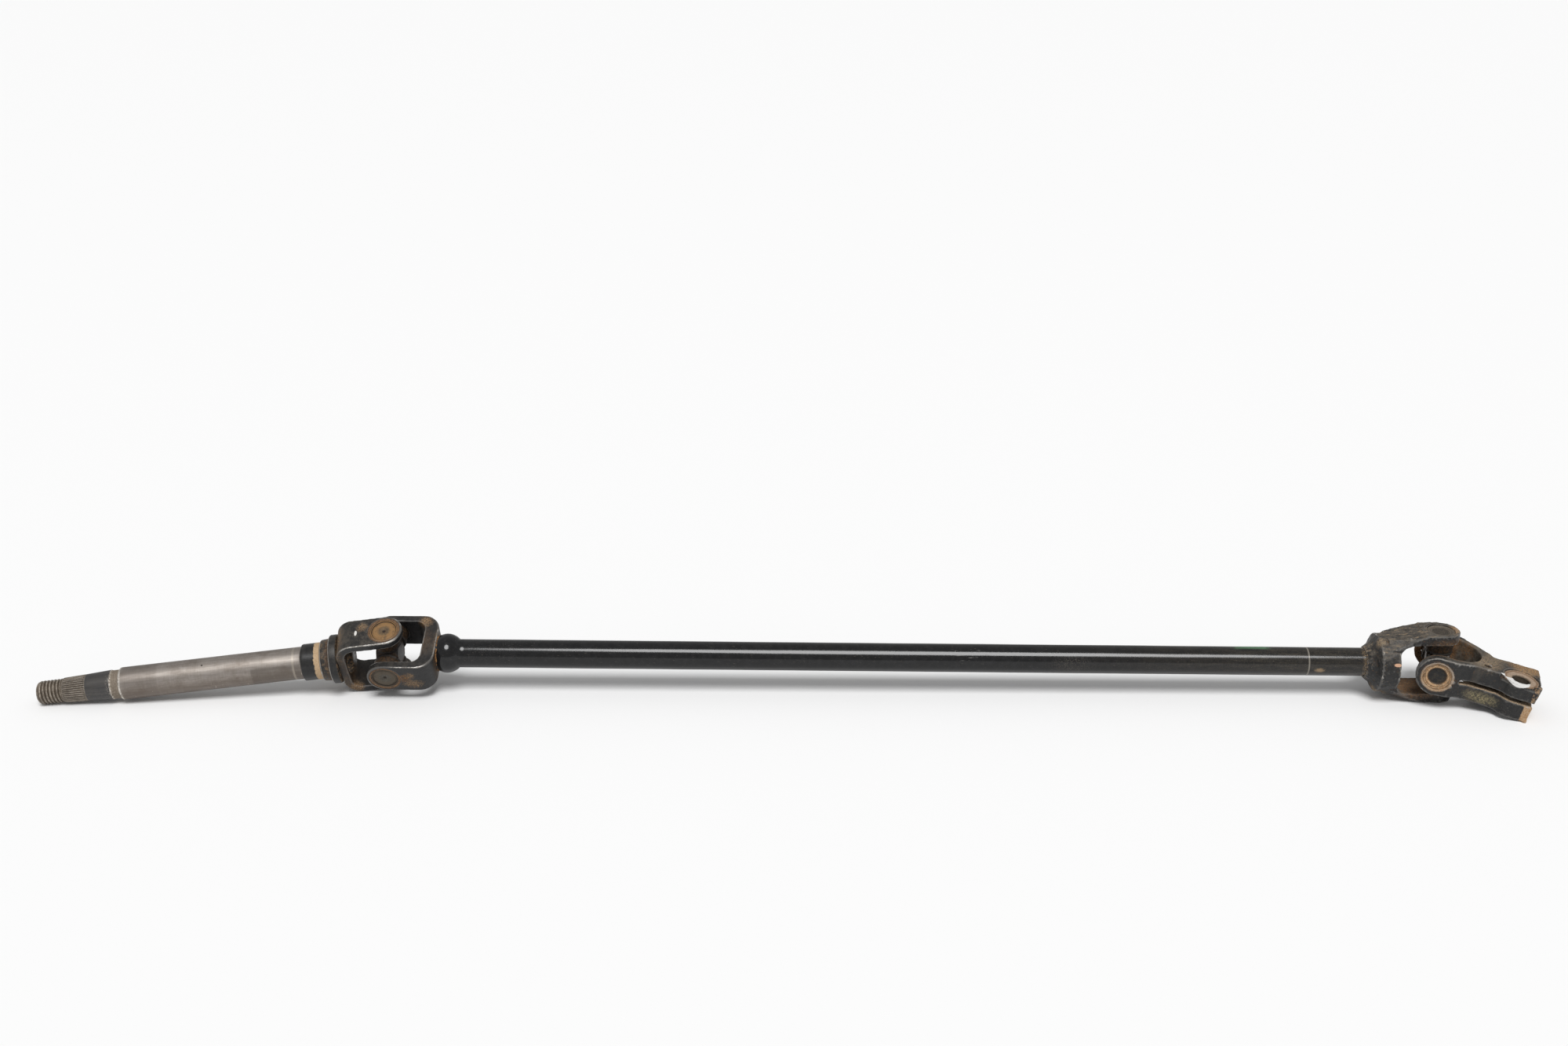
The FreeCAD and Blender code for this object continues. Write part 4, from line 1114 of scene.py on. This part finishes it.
def strip_cup(name, middle_low, middle_high, ring_colour):
    """Cup end in a folded ear: stained middle, darker groove, rusty ring."""
    g = Graph(name)
    from_axis = g.ragged(g.distance((0, 0, 0), (0, 1, 1)), 1.6, 0.8, 3.0)
    stained = g.ramp(g.noise(0.35, 4.0, 0.6, seed=2.0), 0.5, 0.66)
    g.colour = mottled(g, middle_low, middle_high, 1.0)
    g.coat(ring_colour, g.ramp(from_axis, 2.4, 4.6), 0.8)
    g.coat((0.055, 0.042, 0.03), stained, 0.55)
    g.coat((0.022, 0.014, 0.009), g.ramp(g.crease, 0.05, 0.45))
    return finish_cup(g, face_start=18.8, face_rough=0.66, metallic=0.15, relief=0.12)


def forged_cup(name, middle_colour, ring_low, ring_high):
    """Cup end with a dark sunk middle inside a stained raised ring."""
    g = Graph(name)
    from_axis = g.ragged(g.distance((0, 0, 0), (0, 1, 1)), 1.2, 1.0, 3.0)
    stained = g.ramp(g.noise(0.45, seed=5.0), 0.48, 0.62)
    g.colour = mottled(g, PAINT, middle_colour, 1.0)
    g.coat(mottled(g, ring_low, ring_high, 2.0), g.ramp(from_axis, 4.8, 5.6))
    g.coat((0.05, 0.04, 0.028), stained, 0.6)
    g.coat((0.03, 0.019, 0.012), g.ramp(g.crease, 0.1, 0.55))
    return finish_cup(g, face_start=18.4, face_rough=0.6, metallic=0.1, relief=0.14)


def joint_steel(name):
    """Greasy dark steel of a cross, rusty in places."""
    g = Graph(name)
    fine = g.noise(1.1)
    broad = g.noise(0.2, 3.0, 0.6, seed=4.0)
    g.colour = g.mix(g.ramp(fine, 0.38, 0.68), (0.022, 0.015, 0.01), (0.1, 0.052, 0.023))
    g.coat((0.014, 0.012, 0.011), g.ramp(broad, 0.46, 0.62))
    g.bump(fine, 0.1, 0.5)
    return g.finish(0.5, metallic=0.2)


def plain_node_material(name, colour_a, colour_b, rough, metallic):
    """Procedural finish for small CAD nodes that stay as they are."""
    g = Graph(name)
    texture = g.node("TexNoise", g.node("TexCoord").outputs["Object"])
    texture.inputs["Scale"].default_value = 900.0
    texture.inputs["Detail"].default_value = 4.0
    g.colour = g.mix(texture.outputs["Fac"], colour_a, colour_b)
    return g.finish(rough, metallic)


def dress_nodes(kind, material):
    """Gives a material to every CAD node whose name has this word."""
    for name, piece in frame["nodes"].items():
        if kind in name:
            piece.data.materials.clear()
            piece.data.materials.append(material)


# Joints

def yoke_pieces():
    """The four yokes, sculpted from their CAD nodes."""
    strip = (STRIP_SMOOTHING, "strip_paint")
    forged = (FORGED_SMOOTHING, "forged_paint")
    jobs = [
        ("upper_yoke", COLUMN, "column", strip, strip_skin(1), upper_yoke_paint()),
        ("tube_yoke", TUBE, "intermediate_shaft", strip, strip_skin(2), tube_yoke_paint()),
        ("lower_yoke", TUBE_FAR, "intermediate_shaft", forged, lower_skin, lower_yoke_paint()),
        ("clamp_yoke", CLAMP, "clamp", forged, clamp_skin, clamp_yoke_paint())]
    for node, matrix, body, (smoothing, slot), skin, material in jobs:
        mesh = sculpted(node, matrix, smoothing, skin)
        mesh.materials.append(material)
        place(node + "_sculpted", mesh, matrix, body, [node])


def cross_pieces():
    """Both joint crosses, sculpted from their CAD nodes."""
    for node, matrix in (("upper_cross", TUBE), ("lower_cross", TUBE_FAR)):
        mesh = sculpted(node, matrix, CROSS_SMOOTHING, cross_skin)
        mesh.materials.append(joint_steel(node + "_steel"))
        place(node + "_forged", mesh, matrix, node, [node])


def bearing_pieces():
    """Cups of all ears, and the finish of the seals and needles."""
    rusty = strip_cup("rusty_cup", (0.085, 0.06, 0.036), (0.16, 0.105, 0.055), (0.27, 0.15, 0.058))
    grey = strip_cup("grey_cup", (0.055, 0.05, 0.042), (0.1, 0.088, 0.068), (0.085, 0.066, 0.045))
    dusty = forged_cup("dusty_cup", DUST_BROWN, DUST_BROWN, DUST_GREY)
    dark = forged_cup("dark_cup", (0.02, 0.019, 0.018), RUST_ORANGE, TAN_PALE)
    cup_pieces("upper_yoke", COLUMN, "column", strip_cup_rows(), rusty)
    cup_pieces("tube_yoke", TUBE, "intermediate_shaft", strip_cup_rows(), grey)
    cup_pieces("lower_yoke", TUBE_FAR, "intermediate_shaft", plain_cup_rows(), dusty)
    cup_pieces("clamp_yoke", CLAMP, "clamp", forged_cup_rows(), dark)
    rubber = plain_node_material("seal_rubber", (0.012, 0.011, 0.011), (0.05, 0.04, 0.032), 0.7, 0.0)
    dress_nodes("seal", rubber)
    steel = plain_node_material("needle_steel", (0.5, 0.49, 0.47), (0.62, 0.6, 0.58), 0.25, 1.0)
    dress_nodes("needles", steel)


# Stage

def stage_floor():
    """Wide pale floor that keeps the part's shadow."""
    half = FLOOR_HALF_M
    corners = [(-half, -half, 0), (half, -half, 0), (half, half, 0), (-half, half, 0)]
    mesh = bpy.data.meshes.new("floor")
    mesh.from_pydata(corners, [], [(0, 1, 2, 3)])
    floor = add_object("floor", mesh)
    material, shader = new_material("pale_floor")
    shader.inputs["Base Color"].default_value = (FLOOR_TONE, FLOOR_TONE, FLOOR_TONE, 1)
    shader.inputs["Roughness"].default_value = 0.9
    shader.inputs["Specular IOR Level"].default_value = 0.1
    mesh.materials.append(material)


def stage_lights():
    """White sky and one soft sun."""
    world = bpy.data.worlds.new("studio")
    bpy.context.scene.world = world
    world.use_nodes = True
    sky = world.node_tree.nodes["Background"]
    sky.inputs["Color"].default_value = (1.0, 1.0, 1.0, 1)
    sky.inputs["Strength"].default_value = SKY_STRENGTH
    lamp = bpy.data.lights.new("studio_sun", "SUN")
    lamp.energy = SUN_STRENGTH
    lamp.angle = math.radians(SUN_SPREAD_DEG)
    holder = add_object("studio_sun", lamp)
    holder.rotation_euler = (math.radians(90 - SUN_HEIGHT_DEG), 0, math.radians(SUN_TURN_DEG))


def stage_camera():
    """Camera where the photograph was taken from."""
    yaw = math.radians(CAMERA_YAW_DEG)
    pitch = math.radians(CAMERA_PITCH_DEG)
    forward = Vector((math.sin(yaw) * math.cos(pitch), math.cos(yaw) * math.cos(pitch), -math.sin(pitch)))
    right = Vector((math.cos(yaw), -math.sin(yaw), 0))
    up = right.cross(forward)
    turn = Matrix((right, up, -forward)).transposed().to_4x4()
    roll = Matrix.Rotation(math.radians(CAMERA_ROLL_DEG), 4, "Z")
    data = bpy.data.cameras.new("photo_camera")
    data.sensor_fit = "HORIZONTAL"
    data.sensor_width = SENSOR_WIDTH
    data.lens = FOCAL_PIXELS * SENSOR_WIDTH / PHOTO_WIDTH_PIXELS
    camera = add_object("photo_camera", data)
    spot = UPPER_JOINT + Vector(CAMERA_FROM_UPPER_JOINT_M)
    camera.matrix_world = Matrix.Translation(spot) @ turn @ roll
    bpy.context.scene.camera = camera


def main():
    """Stage and pieces."""
    stage_camera()
    stage_lights()
    stage_floor()
    column_pieces()
    tube_pieces()
    neck_weld()
    yoke_pieces()
    cross_pieces()
    bearing_pieces()
    bpy.context.scene.view_settings.view_transform = "Standard"


main()
